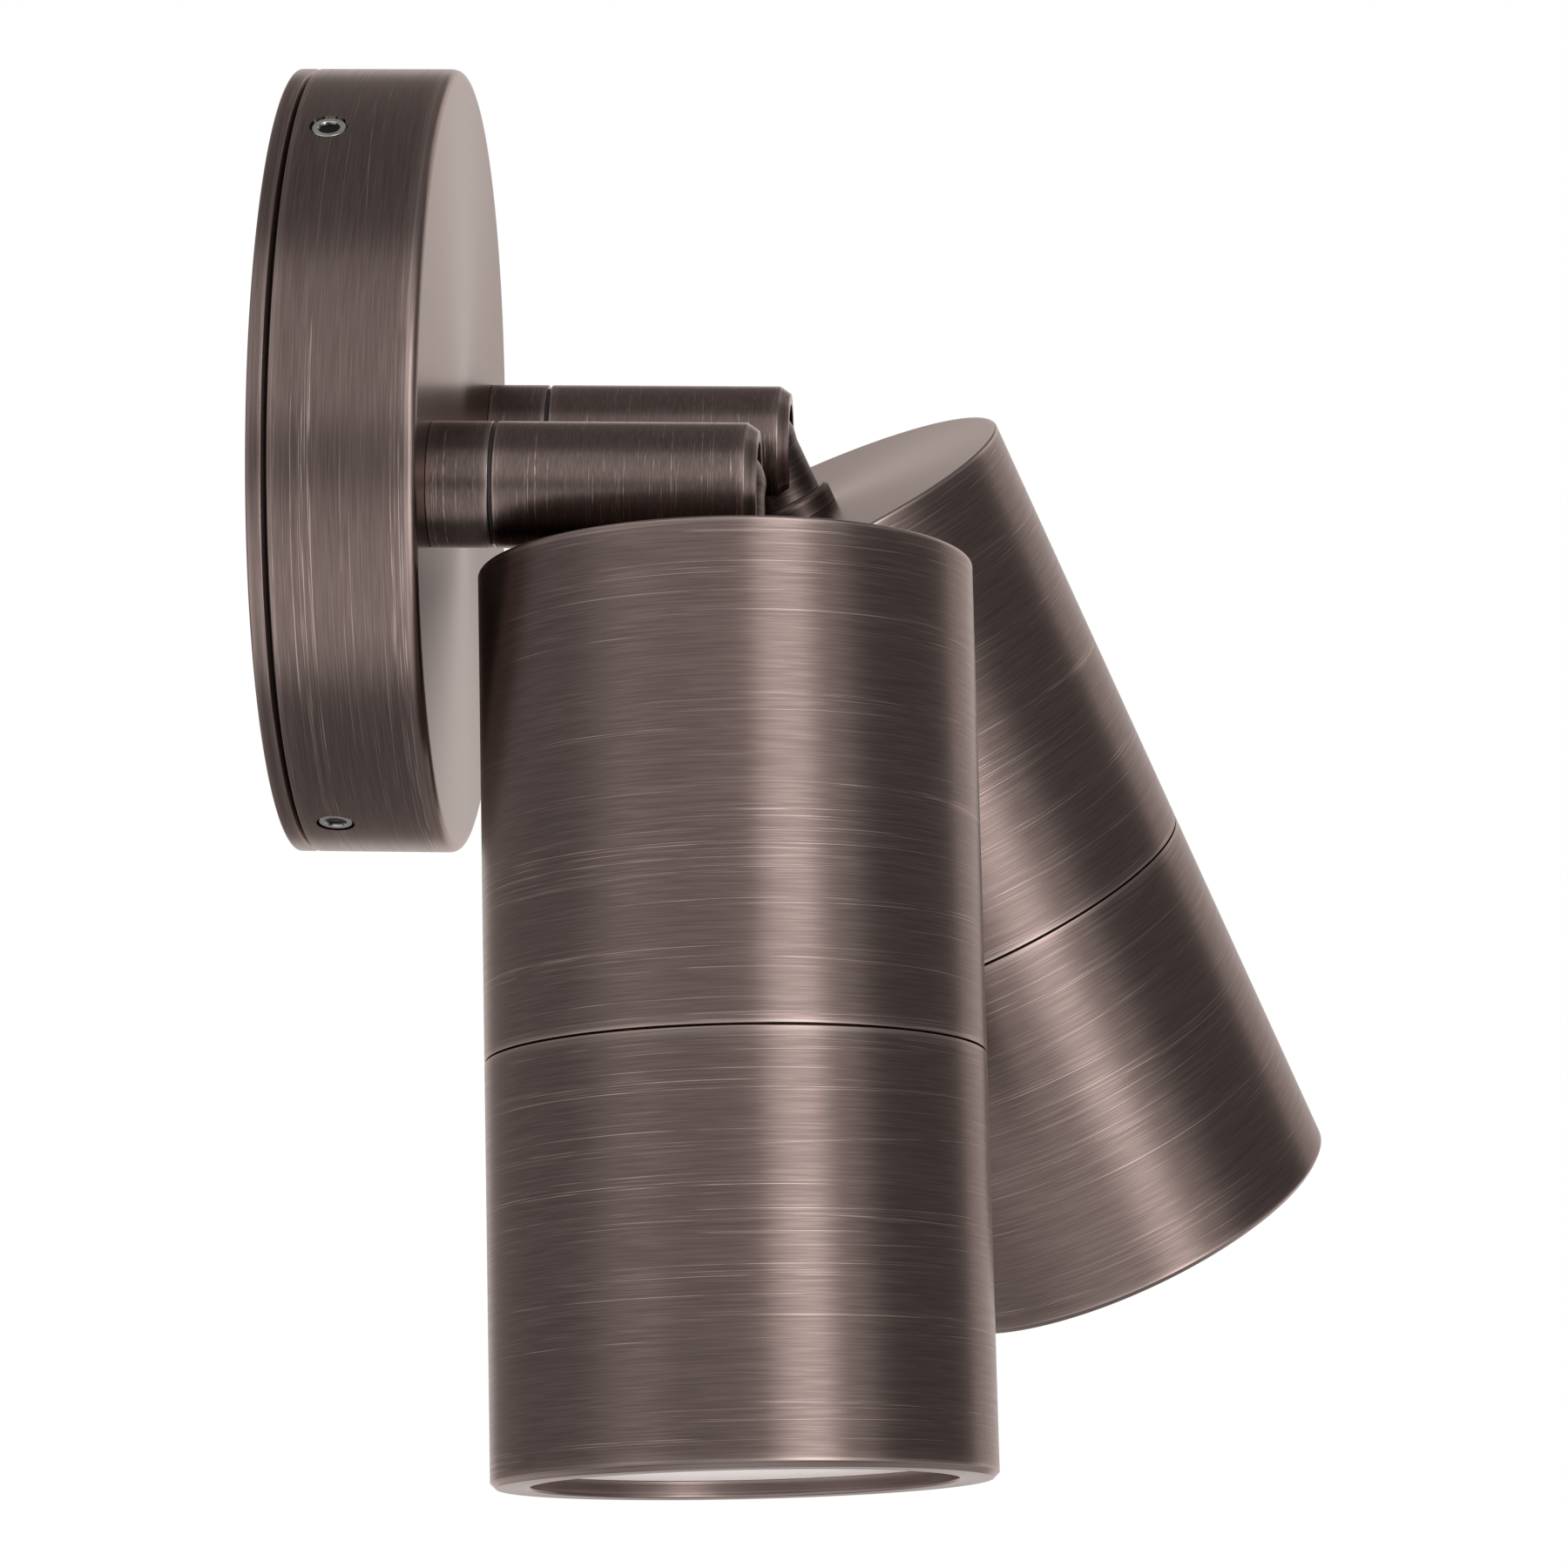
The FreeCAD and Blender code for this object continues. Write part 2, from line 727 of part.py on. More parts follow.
def make_pivot_screw(side):
    screw = turned([
        (0, pivot_thread_end_gap - pivot_thread_end),
        (pivot_screw_radius, pivot_thread_end_gap - pivot_thread_end),
        (pivot_screw_radius, pivot_cone_end),
        (pivot_head_radius, pivot_head_top - pivot_head_land),
        (pivot_head_radius, pivot_head_top),
        (0, pivot_head_top),
    ])
    socket = hexagon(pivot_socket_across, pivot_head_top - pivot_socket_depth, pivot_head_top + overrun)
    return along_x(screw.cut(socket), pivot_out)


# Pieces of one head, built with Z down the head from the pivot and Y out of the wall


def make_knuckle_stem(side):
    ball_end = math.sqrt(knuckle_radius ** 2 - stem_radius ** 2)
    foot_top = cap_top - stem_foot_height
    stem = turned([
        (0, -knuckle_radius),
        (stem_radius, ball_end, knuckle_radius, 0),
        (stem_radius, foot_top),
        (stem_foot_radius - stem_foot_chamfer, foot_top),
        (stem_foot_radius, foot_top + stem_foot_chamfer),
        (stem_foot_radius, cap_top),
        (stem_radius, cap_top),
        (stem_radius, stem_tail - edge_break),
        (stem_radius - edge_break, stem_tail),
        (stem_bore, stem_tail),
        (stem_bore, 0),
        (0, 0),
    ])
    reach = knuckle_radius + overrun
    lead_way = block(lead_slot_width, reach, -reach, 0, 0, -reach / 2)
    pivot_hole = rod(pivot_screw_radius + running_clearance, -reach, reach)
    return stem.cut(lead_way).cut(along_x(pivot_hole, 0))


def make_stem_o_ring(side):
    return torus(stem_ring_radius, stem_ring_cord, cap_top + stem_ring_recess - stem_ring_cord)


def make_stem_washer(side):
    return ring(stem_radius + stem_washer_width, stem_radius + slip_clearance,
                cap_underside, cap_underside + stem_washer_thickness)


def make_stem_nut(side):
    low = cap_underside + stem_washer_thickness
    high = low + stem_nut_height
    nut = hexagon(2 * (stem_radius + stem_nut_wall), low, high)
    return nut.cut(rod(stem_radius + thread_clearance, low - overrun, high + overrun))


def make_rear_body(side):
    round_radius, round_depth = quarter_round(
        head_radius - head_edge_round, cap_top + head_edge_round, head_edge_round, -1)
    groove_start = head_seam + head_ring_groove_start
    groove_end = groove_start + 2 * head_ring_cord + head_ring_side_room
    groove_radius = head_thread_radius - head_ring_groove_depth
    recess_radius = stem_ring_radius + stem_ring_cord + slip_clearance
    thread_end = head_seam + head_thread_length
    body = turned([
        (recess_radius, cap_top),
        (head_radius - head_edge_round, cap_top),
        (head_radius, cap_top + head_edge_round, round_radius, round_depth),
        (head_radius, head_seam - head_seam_chamfer),
        (head_radius - head_seam_chamfer, head_seam),
        (head_thread_radius, head_seam),
        (head_thread_radius, groove_start),
        (groove_radius, groove_start),
        (groove_radius, groove_end),
        (head_thread_radius, groove_end),
        (head_thread_radius, thread_end),
        (head_bore, thread_end),
        (head_bore, cap_underside),
        (stem_radius + slip_clearance, cap_underside),
        (stem_radius + slip_clearance, cap_top + stem_ring_recess),
        (recess_radius, cap_top + stem_ring_recess),
    ])
    for across in both_ways(bracket_screw_offset):
        bite = cap_underside - small_screw_bite - thread_clearance
        body = body.cut(rod(small_screw_radius + thread_clearance, bite, cap_underside + overrun, across))
    return body


def make_body_o_ring(side):
    middle = head_seam + head_ring_groove_start + head_ring_cord + head_ring_side_room / 2
    return torus(head_thread_radius - head_ring_groove_depth + head_ring_cord, head_ring_cord, middle)


def make_front_sleeve(side):
    top = head_seam + head_seam_gap
    thread_end = head_seam + head_thread_length + head_thread_relief
    thread_radius = head_thread_radius + thread_clearance
    return turned([
        (thread_radius, top),
        (head_radius - head_seam_chamfer, top),
        (head_radius, top + head_seam_chamfer),
        (head_radius, head_bottom - rim_chamfer),
        (head_radius - rim_chamfer, head_bottom),
        (rim_opening + edge_break, head_bottom),
        (rim_opening, head_bottom - edge_break),
        (rim_opening, lens_front),
        (head_bore, lens_front),
        (head_bore, thread_end),
        (thread_radius, thread_end),
    ])


def make_lens(side):
    return turned([
        (0, lens_back),
        (lens_radius - edge_break, lens_back),
        (lens_radius, lens_back + edge_break),
        (lens_radius, lens_front - edge_break),
        (lens_radius - edge_break, lens_front),
        (0, lens_front),
    ])


def make_lens_gasket(side):
    return ring(lens_radius, lens_radius - lens_gasket_width, lamp_front, lens_back)


def make_lamp(side):
    """The reflector lamp's shell, with a shallow recess in front for its optic."""
    neck = lamp_neck_share * lamp_radius
    waist = lamp_waist_share * lamp_radius
    neck_end = lamp_back + lamp_neck_height_share * lamp_length
    rim_start = lamp_front - lamp_rim_height_share * lamp_length
    cone_start = rim_start - lamp_cone_height_share * lamp_length
    return turned([
        (0, lamp_back),
        (neck - edge_break, lamp_back),
        (neck, lamp_back + edge_break),
        (neck, neck_end),
        (waist, neck_end),
        (waist, cone_start),
        (lamp_radius, rim_start),
        (lamp_radius, lamp_front - edge_break),
        (lamp_radius - edge_break, lamp_front),
        (lamp_radius - lamp_front_wall, lamp_front),
        (lamp_radius - lamp_front_wall, lamp_front - lamp_front_recess),
        (0, lamp_front - lamp_front_recess),
    ])


def make_lamp_optic(side):
    low = lamp_front - lamp_front_recess
    return rod(lamp_radius - lamp_front_wall - slip_clearance, low, low + lamp_front_thickness)


def make_lamp_pins(side):
    tip = lamp_back - lamp_pin_length
    pin = turned([
        (0, tip),
        (lamp_pin_head_radius - edge_break, tip),
        (lamp_pin_head_radius, tip + edge_break),
        (lamp_pin_head_radius, tip + lamp_pin_head_length),
        (lamp_pin_radius, tip + lamp_pin_head_length),
        (lamp_pin_radius, lamp_back),
        (0, lamp_back),
    ])
    return Part.makeCompound([moved(pin, across, 0) for across in both_ways(lamp_pin_offset)])


def make_lampholder(side):
    holder = turned([
        (0, holder_back),
        (holder_radius - edge_break, holder_back),
        (holder_radius, holder_back + edge_break),
        (holder_radius, lamp_back - edge_break),
        (holder_radius - edge_break, lamp_back),
        (0, lamp_back),
    ])
    for across in both_ways(lamp_pin_offset):
        floor = lamp_back - lamp_pin_length - holder_pin_clearance
        holder = holder.cut(rod(pin_hole_radius, floor, lamp_back + overrun, across))
    for across in both_ways(holder_screw_offset):
        bite = holder_back + small_screw_bite + thread_clearance
        holder = holder.cut(rod(small_screw_radius + thread_clearance, holder_back - overrun, bite, across))
    return holder


def make_holder_bracket(side):
    """A strip bent down from the cap, across behind the lampholder and up again."""
    leg_middle = (bracket_leg_inner + bracket_leg_outer) / 2
    foot_end = cap_underside + bracket_thickness
    foot_length = bracket_reach - bracket_leg_inner
    bracket = block(2 * bracket_leg_outer, bracket_width, bracket_back, holder_back)
    for across in both_ways(leg_middle):
        bracket = bracket.fuse(block(bracket_thickness, bracket_width, cap_underside, holder_back, across))
    for across in both_ways(bracket_leg_inner + foot_length / 2):
        bracket = bracket.fuse(block(foot_length, bracket_width, cap_underside, foot_end, across))
    bracket = bracket.removeSplitter()
    screw_hole = small_screw_radius + slip_clearance
    for across in both_ways(bracket_screw_offset):
        bracket = bracket.cut(rod(screw_hole, cap_underside - overrun, foot_end + overrun, across))
    for across in both_ways(holder_screw_offset):
        bracket = bracket.cut(rod(screw_hole, bracket_back - overrun, holder_back + overrun, across))
    return bracket.cut(rod(bracket_window_radius, bracket_back - overrun, holder_back + overrun))


def make_bracket_screws(side):
    """Two screws, their heads under the bracket's feet and their threads up in the cap."""
    bite = bracket_thickness + small_screw_bite
    seat = cap_underside + bracket_thickness
    screw = slotted_screw(small_screw_radius, small_screw_head_radius, small_screw_head_height, bite, seat)
    return Part.makeCompound([moved(screw, across, 0) for across in both_ways(bracket_screw_offset)])


def make_holder_screws(side):
    """Two screws down through the bracket's web into the lampholder."""
    bite = bracket_thickness + small_screw_bite
    seat = -bracket_back
    screw = slotted_screw(small_screw_radius, small_screw_head_radius, small_screw_head_height, bite, seat)
    screw.rotate(ORIGIN, X_AXIS, HALF_TURN)
    return Part.makeCompound([moved(screw, across, 0) for across in both_ways(holder_screw_offset)])


def make_lamp_leads(side):
    """Two insulated leads from the lampholder up into the hollow stem."""
    return Part.makeCompound([rod(lead_radius, lead_top_depth, holder_back, across)
                              for across in both_ways(lead_offset)])


BASE_PIECES = {
    "wall_gasket": make_wall_gasket,
    "mounting_plate": make_mounting_plate,
    "cable_grommet": make_cable_grommet,
    "canopy_seal": make_canopy_seal,
    "terminal_block": make_terminal_block,
    "terminal_screws": make_terminal_screws,
    "terminal_block_screw": make_terminal_block_screw,
    "earth_screw": make_earth_screw,
    "socket_lock_washers": make_socket_lock_washers,
    "socket_lock_nuts": make_socket_lock_nuts,
    "stop_pins": make_stop_pins,
}

SWIVEL_PIECES = {
    "swivel_socket": make_swivel_socket,
    "thrust_washer": make_thrust_washer,
    "spring_washer": make_spring_washer,
    "swivel_bolt": make_swivel_bolt,
}

ARM_PIECES = {
    "arm": make_arm,
    "pivot_screw": make_pivot_screw,
}

HEAD_PIECES = {
    "knuckle_stem": make_knuckle_stem,
    "stem_o_ring": make_stem_o_ring,
    "stem_washer": make_stem_washer,
    "stem_nut": make_stem_nut,
    "rear_body": make_rear_body,
    "body_o_ring": make_body_o_ring,
    "front_sleeve": make_front_sleeve,
    "lens": make_lens,
    "lens_gasket": make_lens_gasket,
    "lamp": make_lamp,
    "lamp_optic": make_lamp_optic,
    "lamp_pins": make_lamp_pins,
    "lampholder": make_lampholder,
    "holder_bracket": make_holder_bracket,
    "bracket_screws": make_bracket_screws,
    "holder_screws": make_holder_screws,
    "lamp_leads": make_lamp_leads,
}


def main():
    os.makedirs("parts", exist_ok=True)
    for name, make in BASE_PIECES.items():
        save(name, from_wall(make()))
    save("canopy", make_canopy())
    save("grub_screws", make_grub_screws())
    for side in SIDES:
        for name, make in SWIVEL_PIECES.items():
            save(side["name"] + "_" + name, from_wall(make(side), side["across"]))
        for name, make in ARM_PIECES.items():
            save(side["name"] + "_" + name, on_arm(make(side), side))
        for name, make in HEAD_PIECES.items():
            save(side["name"] + "_" + name, on_head(make(side), side))


main()
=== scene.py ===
"""Looks of a twin wall spotlight: turned tubes in brushed dark bronze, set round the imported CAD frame.

The frame gives the places of all pieces. Lengths are in metres.
A turned piece is built about its own Z axis and then put in its place:
an arm's Z points out of the wall, and a head's Z points from the pivot down to the glass.
"""

import json
import math

import bmesh
import bpy
import numpy as np
from bpy.props import FloatProperty, FloatVectorProperty, IntProperty, PointerProperty
from mathutils import Matrix, Vector

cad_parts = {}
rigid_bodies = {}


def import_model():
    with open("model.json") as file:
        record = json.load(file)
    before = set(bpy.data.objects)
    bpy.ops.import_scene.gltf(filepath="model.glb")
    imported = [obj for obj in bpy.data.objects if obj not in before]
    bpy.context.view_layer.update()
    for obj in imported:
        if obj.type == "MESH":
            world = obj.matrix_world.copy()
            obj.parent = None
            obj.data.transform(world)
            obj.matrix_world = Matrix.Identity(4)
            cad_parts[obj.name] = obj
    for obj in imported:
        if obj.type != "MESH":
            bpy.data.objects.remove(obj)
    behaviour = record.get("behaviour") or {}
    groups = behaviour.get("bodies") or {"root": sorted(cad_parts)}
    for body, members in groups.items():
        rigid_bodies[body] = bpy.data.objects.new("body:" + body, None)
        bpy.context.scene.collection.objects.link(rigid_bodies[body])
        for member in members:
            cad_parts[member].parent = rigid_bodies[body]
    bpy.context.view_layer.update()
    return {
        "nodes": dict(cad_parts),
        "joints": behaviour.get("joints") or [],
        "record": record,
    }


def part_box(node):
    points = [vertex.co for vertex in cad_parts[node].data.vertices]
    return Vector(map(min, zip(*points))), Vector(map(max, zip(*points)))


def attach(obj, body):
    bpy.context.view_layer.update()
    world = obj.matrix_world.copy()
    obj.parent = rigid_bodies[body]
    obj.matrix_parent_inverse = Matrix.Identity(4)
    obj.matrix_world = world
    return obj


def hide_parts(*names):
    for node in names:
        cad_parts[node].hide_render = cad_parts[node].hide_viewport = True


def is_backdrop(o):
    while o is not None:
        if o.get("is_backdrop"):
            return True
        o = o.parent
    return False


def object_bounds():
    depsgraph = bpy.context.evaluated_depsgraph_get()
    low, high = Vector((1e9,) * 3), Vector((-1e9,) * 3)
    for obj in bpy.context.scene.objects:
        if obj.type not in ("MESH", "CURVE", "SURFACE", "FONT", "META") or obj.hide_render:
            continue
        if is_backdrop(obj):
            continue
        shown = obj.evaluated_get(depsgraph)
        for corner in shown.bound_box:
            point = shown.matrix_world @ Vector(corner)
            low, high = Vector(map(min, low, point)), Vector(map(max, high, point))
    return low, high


bl_info = {
    "name": "Twin wall spotlight",
    "version": (1, 0, 0),
    "blender": (4, 5, 0),
    "location": "View3D > Sidebar > Spotlight",
    "description": "Dresses a twin wall spotlight in brushed dark bronze",
    "category": "Object",
}

for leftover in list(bpy.data.objects):
    bpy.data.objects.remove(leftover)
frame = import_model()
SIDES = ("left", "right")
JOINTS = {joint["name"]: joint for joint in frame["joints"]}
MM = 0.001
# How far a cutter stands out past what it cuts
OVERRUN = 1.0 * MM
# How far from an edge its wear and its gathered hairlines fade away
WEAR_REACH = 0.35 * MM
GATHER_REACH = 1.8 * MM
# An arm or a stub is this many times as slim as a head, and its brushing is drawn as much closer.
SLIM_CLOSENESS = 4.5
# How long the hairlines are at most
# The slim one is measured before its piece's closeness shortens it to 8 mm.
TUBE_HAIR = MM / 0.011
SLIM_HAIR = MM / 0.027
# The camera's place, its right and its up, fitted to the edges that the photograph shows
CAMERA_PLACE = (-0.702565, -0.102897, 0.056347)
CAMERA_RIGHT = (0.05884102, -0.99826598, 0.00166258)
CAMERA_UP = (0.13696389, 0.00972278, 0.99052832)


# What the frame says: sizes and places


def points_of(mesh):
    """A mesh's vertices as rows of numbers."""
    points = np.zeros(3 * len(mesh.vertices))
    mesh.vertices.foreach_get("co", points)
    return points.reshape(-1, 3)


def arm_place(side):
    """Where an arm stands: its Z points out of the wall, and its X is the line that the head tilts about."""
    across = -Vector(JOINTS[side + "_tilt"]["axis"])
    out = Vector((0, -1, 0))
    return placed(across, out, Vector(JOINTS[side + "_swivel"]["pos_m"]))


def head_place(side):
    """Where a head hangs: its Z runs from the pivot down the middle of the tube."""
    pivot = Vector(JOINTS[side + "_tilt"]["pos_m"])
    down = Vector(points_of(frame["nodes"][side + "_front_sleeve"].data).mean(axis=0)) - pivot
    across = -Vector(JOINTS[side + "_tilt"]["axis"])
    return placed(across, down.normalized(), pivot)


def placed(across, along, origin):
    """The matrix that takes X to one direction, Z to another and the origin to a point."""
    up = along.cross(across).normalized()
    columns = Matrix((across, up, along)).transposed()
    return Matrix.Translation(origin) @ columns.to_4x4()


BASE_PLACE = Matrix.Rotation(math.pi / 2, 4, "X")
CANOPY_LOW, CANOPY_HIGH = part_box("canopy")
GASKET_LOW, GASKET_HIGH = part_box("wall_gasket")


# Sizes and colours that a user would change


def linear(code):
    """A colour written as sRGB hex, as the linear numbers that shaders take."""
    channels = [int(code[start:start + 2], 16) / 255 for start in (0, 2, 4)]
    return [c / 12.92 if c <= 0.04045 else ((c + 0.055) / 1.055) ** 2.4 for c in channels]


def length(name, description, default):
    """A length in metres, shown in the scene's own unit."""
    return FloatProperty(name=name, description=description, default=default, min=0.0, unit="LENGTH",
                         subtype="DISTANCE")


def colour(name, description, code):
    """A colour whose default is written as sRGB hex."""
    return FloatVectorProperty(name=name, description=description, default=linear(code), min=0.0, max=1.0,
                               subtype="COLOR")


class BaseSizes(bpy.types.PropertyGroup):
    radius: length("Radius", "Outside radius of canopy and plate", CANOPY_HIGH.x)
    depth: length("Depth", "From the wall to the canopy's face", -CANOPY_LOW.y)
    canopy_back: length("Canopy back", "From the wall to the canopy's rear edge", -CANOPY_HIGH.y)
    canopy_wall: length("Canopy wall", "Thickness of the canopy's rim", 4.0 * MM)
    face_thickness: length("Face thickness", "Thickness of the canopy's face", 3.5 * MM)
    edge_round: length("Edge round", "Round between the canopy's rim and face", 1.4 * MM)
    plate_rim: length("Plate rim", "How far the plate's rim stands off the wall", 2.35 * MM)
    plate_chamfer: length("Plate chamfer", "Chamfer of the plate's front rim, along the axis", 0.5 * MM)
    plate_chamfer_width: length("Plate chamfer width", "The same chamfer, across", 0.7 * MM)
    plate_floor: length("Plate floor", "From the wall to the plate's front face", 4.0 * MM)
    gasket_thickness: length("Gasket thickness", "Foam between plate and wall", -GASKET_LOW.y)
    gasket_seat: length("Gasket seat", "Radius of the recess in the plate's back", GASKET_HIGH.x + 0.1 * MM)
    ring_radius: length("Ring radius", "Outside radius of the ring that locates the canopy", 45.75 * MM)
    ring_wall: length("Ring wall", "Thickness of that ring", 2.5 * MM)
    ring_height: length("Ring height", "From the wall to the top of that ring", 10.0 * MM)
    socket_hole: length("Socket hole", "Radius of the canopy's holes for the swivel sockets", 6.1 * MM)
    wall_hole: length("Wall hole", "Radius of the wall screws' holes", 2.25 * MM)
    wall_hole_spacing: length("Wall hole spacing", "From one wall screw's hole to the other", 64.0 * MM)
    cable_hole: length("Cable hole", "Radius of the plate's hole for the grommet", 6.1 * MM)
    cable_drop: length("Cable drop", "From the middle down to the cable hole", 16.0 * MM)


class GrubScrewSizes(bpy.types.PropertyGroup):
    count: IntProperty(name="Count", description="Grub screws round the rim", default=3, min=1)
    first_turn: FloatProperty(name="First turn", description="Where the first one stands, from +X towards +Z",
                              default=0.0, subtype="ANGLE")
    radius: length("Radius", "Thread radius of a grub screw", 2.35 * MM)
    hole_clearance: length("Hole clearance", "Play of the screw in its hole", 0.05 * MM)
    out: length("Out", "From the wall to the screws' middle", 7.0 * MM)
    recess: length("Recess", "How far the screws sit below the rim", 0.2 * MM)
    socket: length("Socket", "Hexagon socket across its flats", 2.5 * MM)
    socket_depth: length("Socket depth", "Depth of the hexagon socket", 2.0 * MM)
    chamfer: length("Chamfer", "Chamfer round the screw's end", 0.3 * MM)


class ArmSizes(bpy.types.PropertyGroup):
    radius: length("Radius", "Outside radius of arms and swivel sockets", 7.75 * MM)
    bore: length("Bore", "Radius of the arm's bore", 5.3475 * MM)
    socket_bore: length("Socket bore", "Radius of the hole through a swivel socket", 4.0475 * MM)
    socket_spigot: length("Socket spigot", "Radius of the socket where it passes the canopy", 6.0 * MM)
    socket_front: length("Socket front", "From the wall to the front of a swivel socket", 28.1 * MM)
    back: length("Back", "From the wall to the rear end of an arm", 28.5 * MM)
    shoulder: length("Shoulder", "From the wall to the floor of the arm's bore", 33.0 * MM)
    front: length("Front", "From the wall to the open end of an arm", 60.55 * MM)
    chamfer: length("Chamfer", "Chamfer at the open end, along the arm", 1.45 * MM)
    chamfer_width: length("Chamfer width", "The same chamfer, across", 1.0 * MM)
    slot_half_width: length("Slot half width", "Half the width of the slot for the knuckle", 5.2985 * MM)
    screw_radius: length("Screw radius", "Radius of the hole for the pivot screw", 1.55 * MM)
    screw_head_radius: length("Screw head radius", "Radius of the sunk head's seat", 2.7 * MM)
    screw_head_top: length("Screw head top", "From the arm's axis to the top of the sunk head", 7.2 * MM)


class KnuckleSizes(bpy.types.PropertyGroup):
    end_radius: length("End radius", "Radius of the stem's round end", 5.2475 * MM)
    stem_radius: length("Stem radius", "Radius of the stem", 4.9975 * MM)
    taper_end: length("Taper end", "From the pivot down to where the round end meets the stem", 1.6 * MM)
    foot_start: length("Foot start", "From the pivot down to the stem's foot", 8.2 * MM)
    foot_radius: length("Foot radius", "Radius of the foot", 6.2475 * MM)
    foot_chamfer: length("Foot chamfer", "Chamfer on top of the foot", 0.4 * MM)
    end: length("End", "From the pivot down to the end of the stem's thread", 19.86 * MM)
    bore: length("Bore", "Radius of the leads' bore", 3.248 * MM)
    lead_way: length("Lead way", "Width of the slot for the leads in the round end", 4.0 * MM)


class HeadSizes(bpy.types.PropertyGroup):
    radius: length("Radius", "Outside radius of a head", 30.0 * MM)
    bore: length("Bore", "Inside radius of a head", 26.0 * MM)
    top: length("Top", "From the pivot down to the cap", 10.86 * MM)
    cap_thickness: length("Cap thickness", "Thickness of the closed end", 4.0 * MM)
    edge_round: length("Edge round", "Round between cap and tube", 0.4 * MM)
    seam: length("Seam", "From the pivot down to the seam", 70.37 * MM)
    seam_gap: length("Seam gap", "Width of the seam's dark line", 0.25 * MM)
    seam_chamfer: length("Seam chamfer", "Broken edge each side of the seam", 0.15 * MM)
    bottom: length("Bottom", "From the pivot down to the rim", 120.86 * MM)
    rim_chamfer: length("Rim chamfer", "Chamfer round the rim", 0.7 * MM)
    rim_opening: length("Rim opening", "Radius of the opening in front of the glass", 25.3 * MM)
    thread_radius: length("Thread radius", "Radius of the thread that joins both halves", 28.0 * MM)
    thread_length: length("Thread length", "Length of that thread", 8.0 * MM)
    stem_hole: length("Stem hole", "Radius of the cap's hole for the stem", 5.0975 * MM)
    stem_seat: length("Stem seat", "Radius of the seal's recess under the stem's foot", 6.04 * MM)
    stem_seat_depth: length("Stem seat depth", "Depth of that recess", 0.94 * MM)


class GlassSizes(bpy.types.PropertyGroup):
    radius: length("Radius", "Radius of the front glass", 25.8 * MM)
    front: length("Front", "From the pivot down to the glass's outer face", 118.76 * MM)
    thickness: length("Thickness", "Thickness of the front glass", 3.0 * MM)
    lamp_radius: length("Lamp radius", "Radius of the lamp's front", 25.0 * MM)
    lamp_front: length("Lamp front", "From the pivot down to the lamp's front", 114.56 * MM)
    optic_radius: length("Optic radius", "Radius of the clear optic in the lamp", 23.4 * MM)
    optic_back: length("Optic back", "From the pivot down to the optic's back", 111.56 * MM)
    optic_thickness: length("Optic thickness", "Thickness of the optic with its lenslets", 2.4 * MM)
    lenslet_pitch: length("Lenslet pitch", "From one lenslet to the next", 4.2 * MM)
    lenslet_radius: length("Lenslet radius", "Radius of a lenslet where it meets the optic", 1.95 * MM)
    lenslet_height: length("Lenslet height", "How far a lenslet stands up", 0.8 * MM)
    lenslet_rows: IntProperty(name="Lenslet rows", default=15, min=1,
                              description="Rows of lenslets, before the optic's edge ends them")


class BronzeFinish(bpy.types.PropertyGroup):
    patina: colour("Patina", "The brushed bronze between its scratches", "6c5d59")
    shade: colour("Shade", "Patina where it lies thicker", "5a4d4a")
    bare: colour("Bare metal", "Metal laid open by a scratch or an edge", "c4b0aa")
    glancing: colour("Glancing tint", "Tint of the reflections that are seen edge on", "f8ece7")
    roughness: FloatProperty(name="Roughness", description="Roughness of the brushed metal", default=0.31,
                             min=0.0, max=1.0, subtype="FACTOR")
    brushing: FloatProperty(name="Brushing", description="How much the brushing draws the reflections out",
                            default=0.5, min=0.0, max=1.0, subtype="FACTOR")


class StudioSetup(bpy.types.PropertyGroup):
    floor_drop: length("Floor drop", "From the wall light's middle down to the floor", 1.2)
    floor_radius: length("Floor radius", "How far the floor runs on", 40.0)
    floor_colour: colour("Floor colour", "The pale floor", "f4f3f2")
    key_power: FloatProperty(name="Key power", description="Power of the tall soft lamp", default=11.8,
                             min=0.0, subtype="POWER")
    key_turn: FloatProperty(name="Key turn", default=math.radians(31), subtype="ANGLE",
                            description="Where that lamp stands, from the light's left to its front")
    key_distance: length("Key distance", "From the wall light's middle to that lamp", 1.3)
    key_width: length("Key width", "Width of that lamp", 0.62)
    key_height: length("Key height", "Height of that lamp", 2.2)
    focal_length: FloatProperty(name="Focal length", description="Of the camera, on a 36 mm sensor",
                                default=126.67, min=1.0, unit="CAMERA")


# Meshes


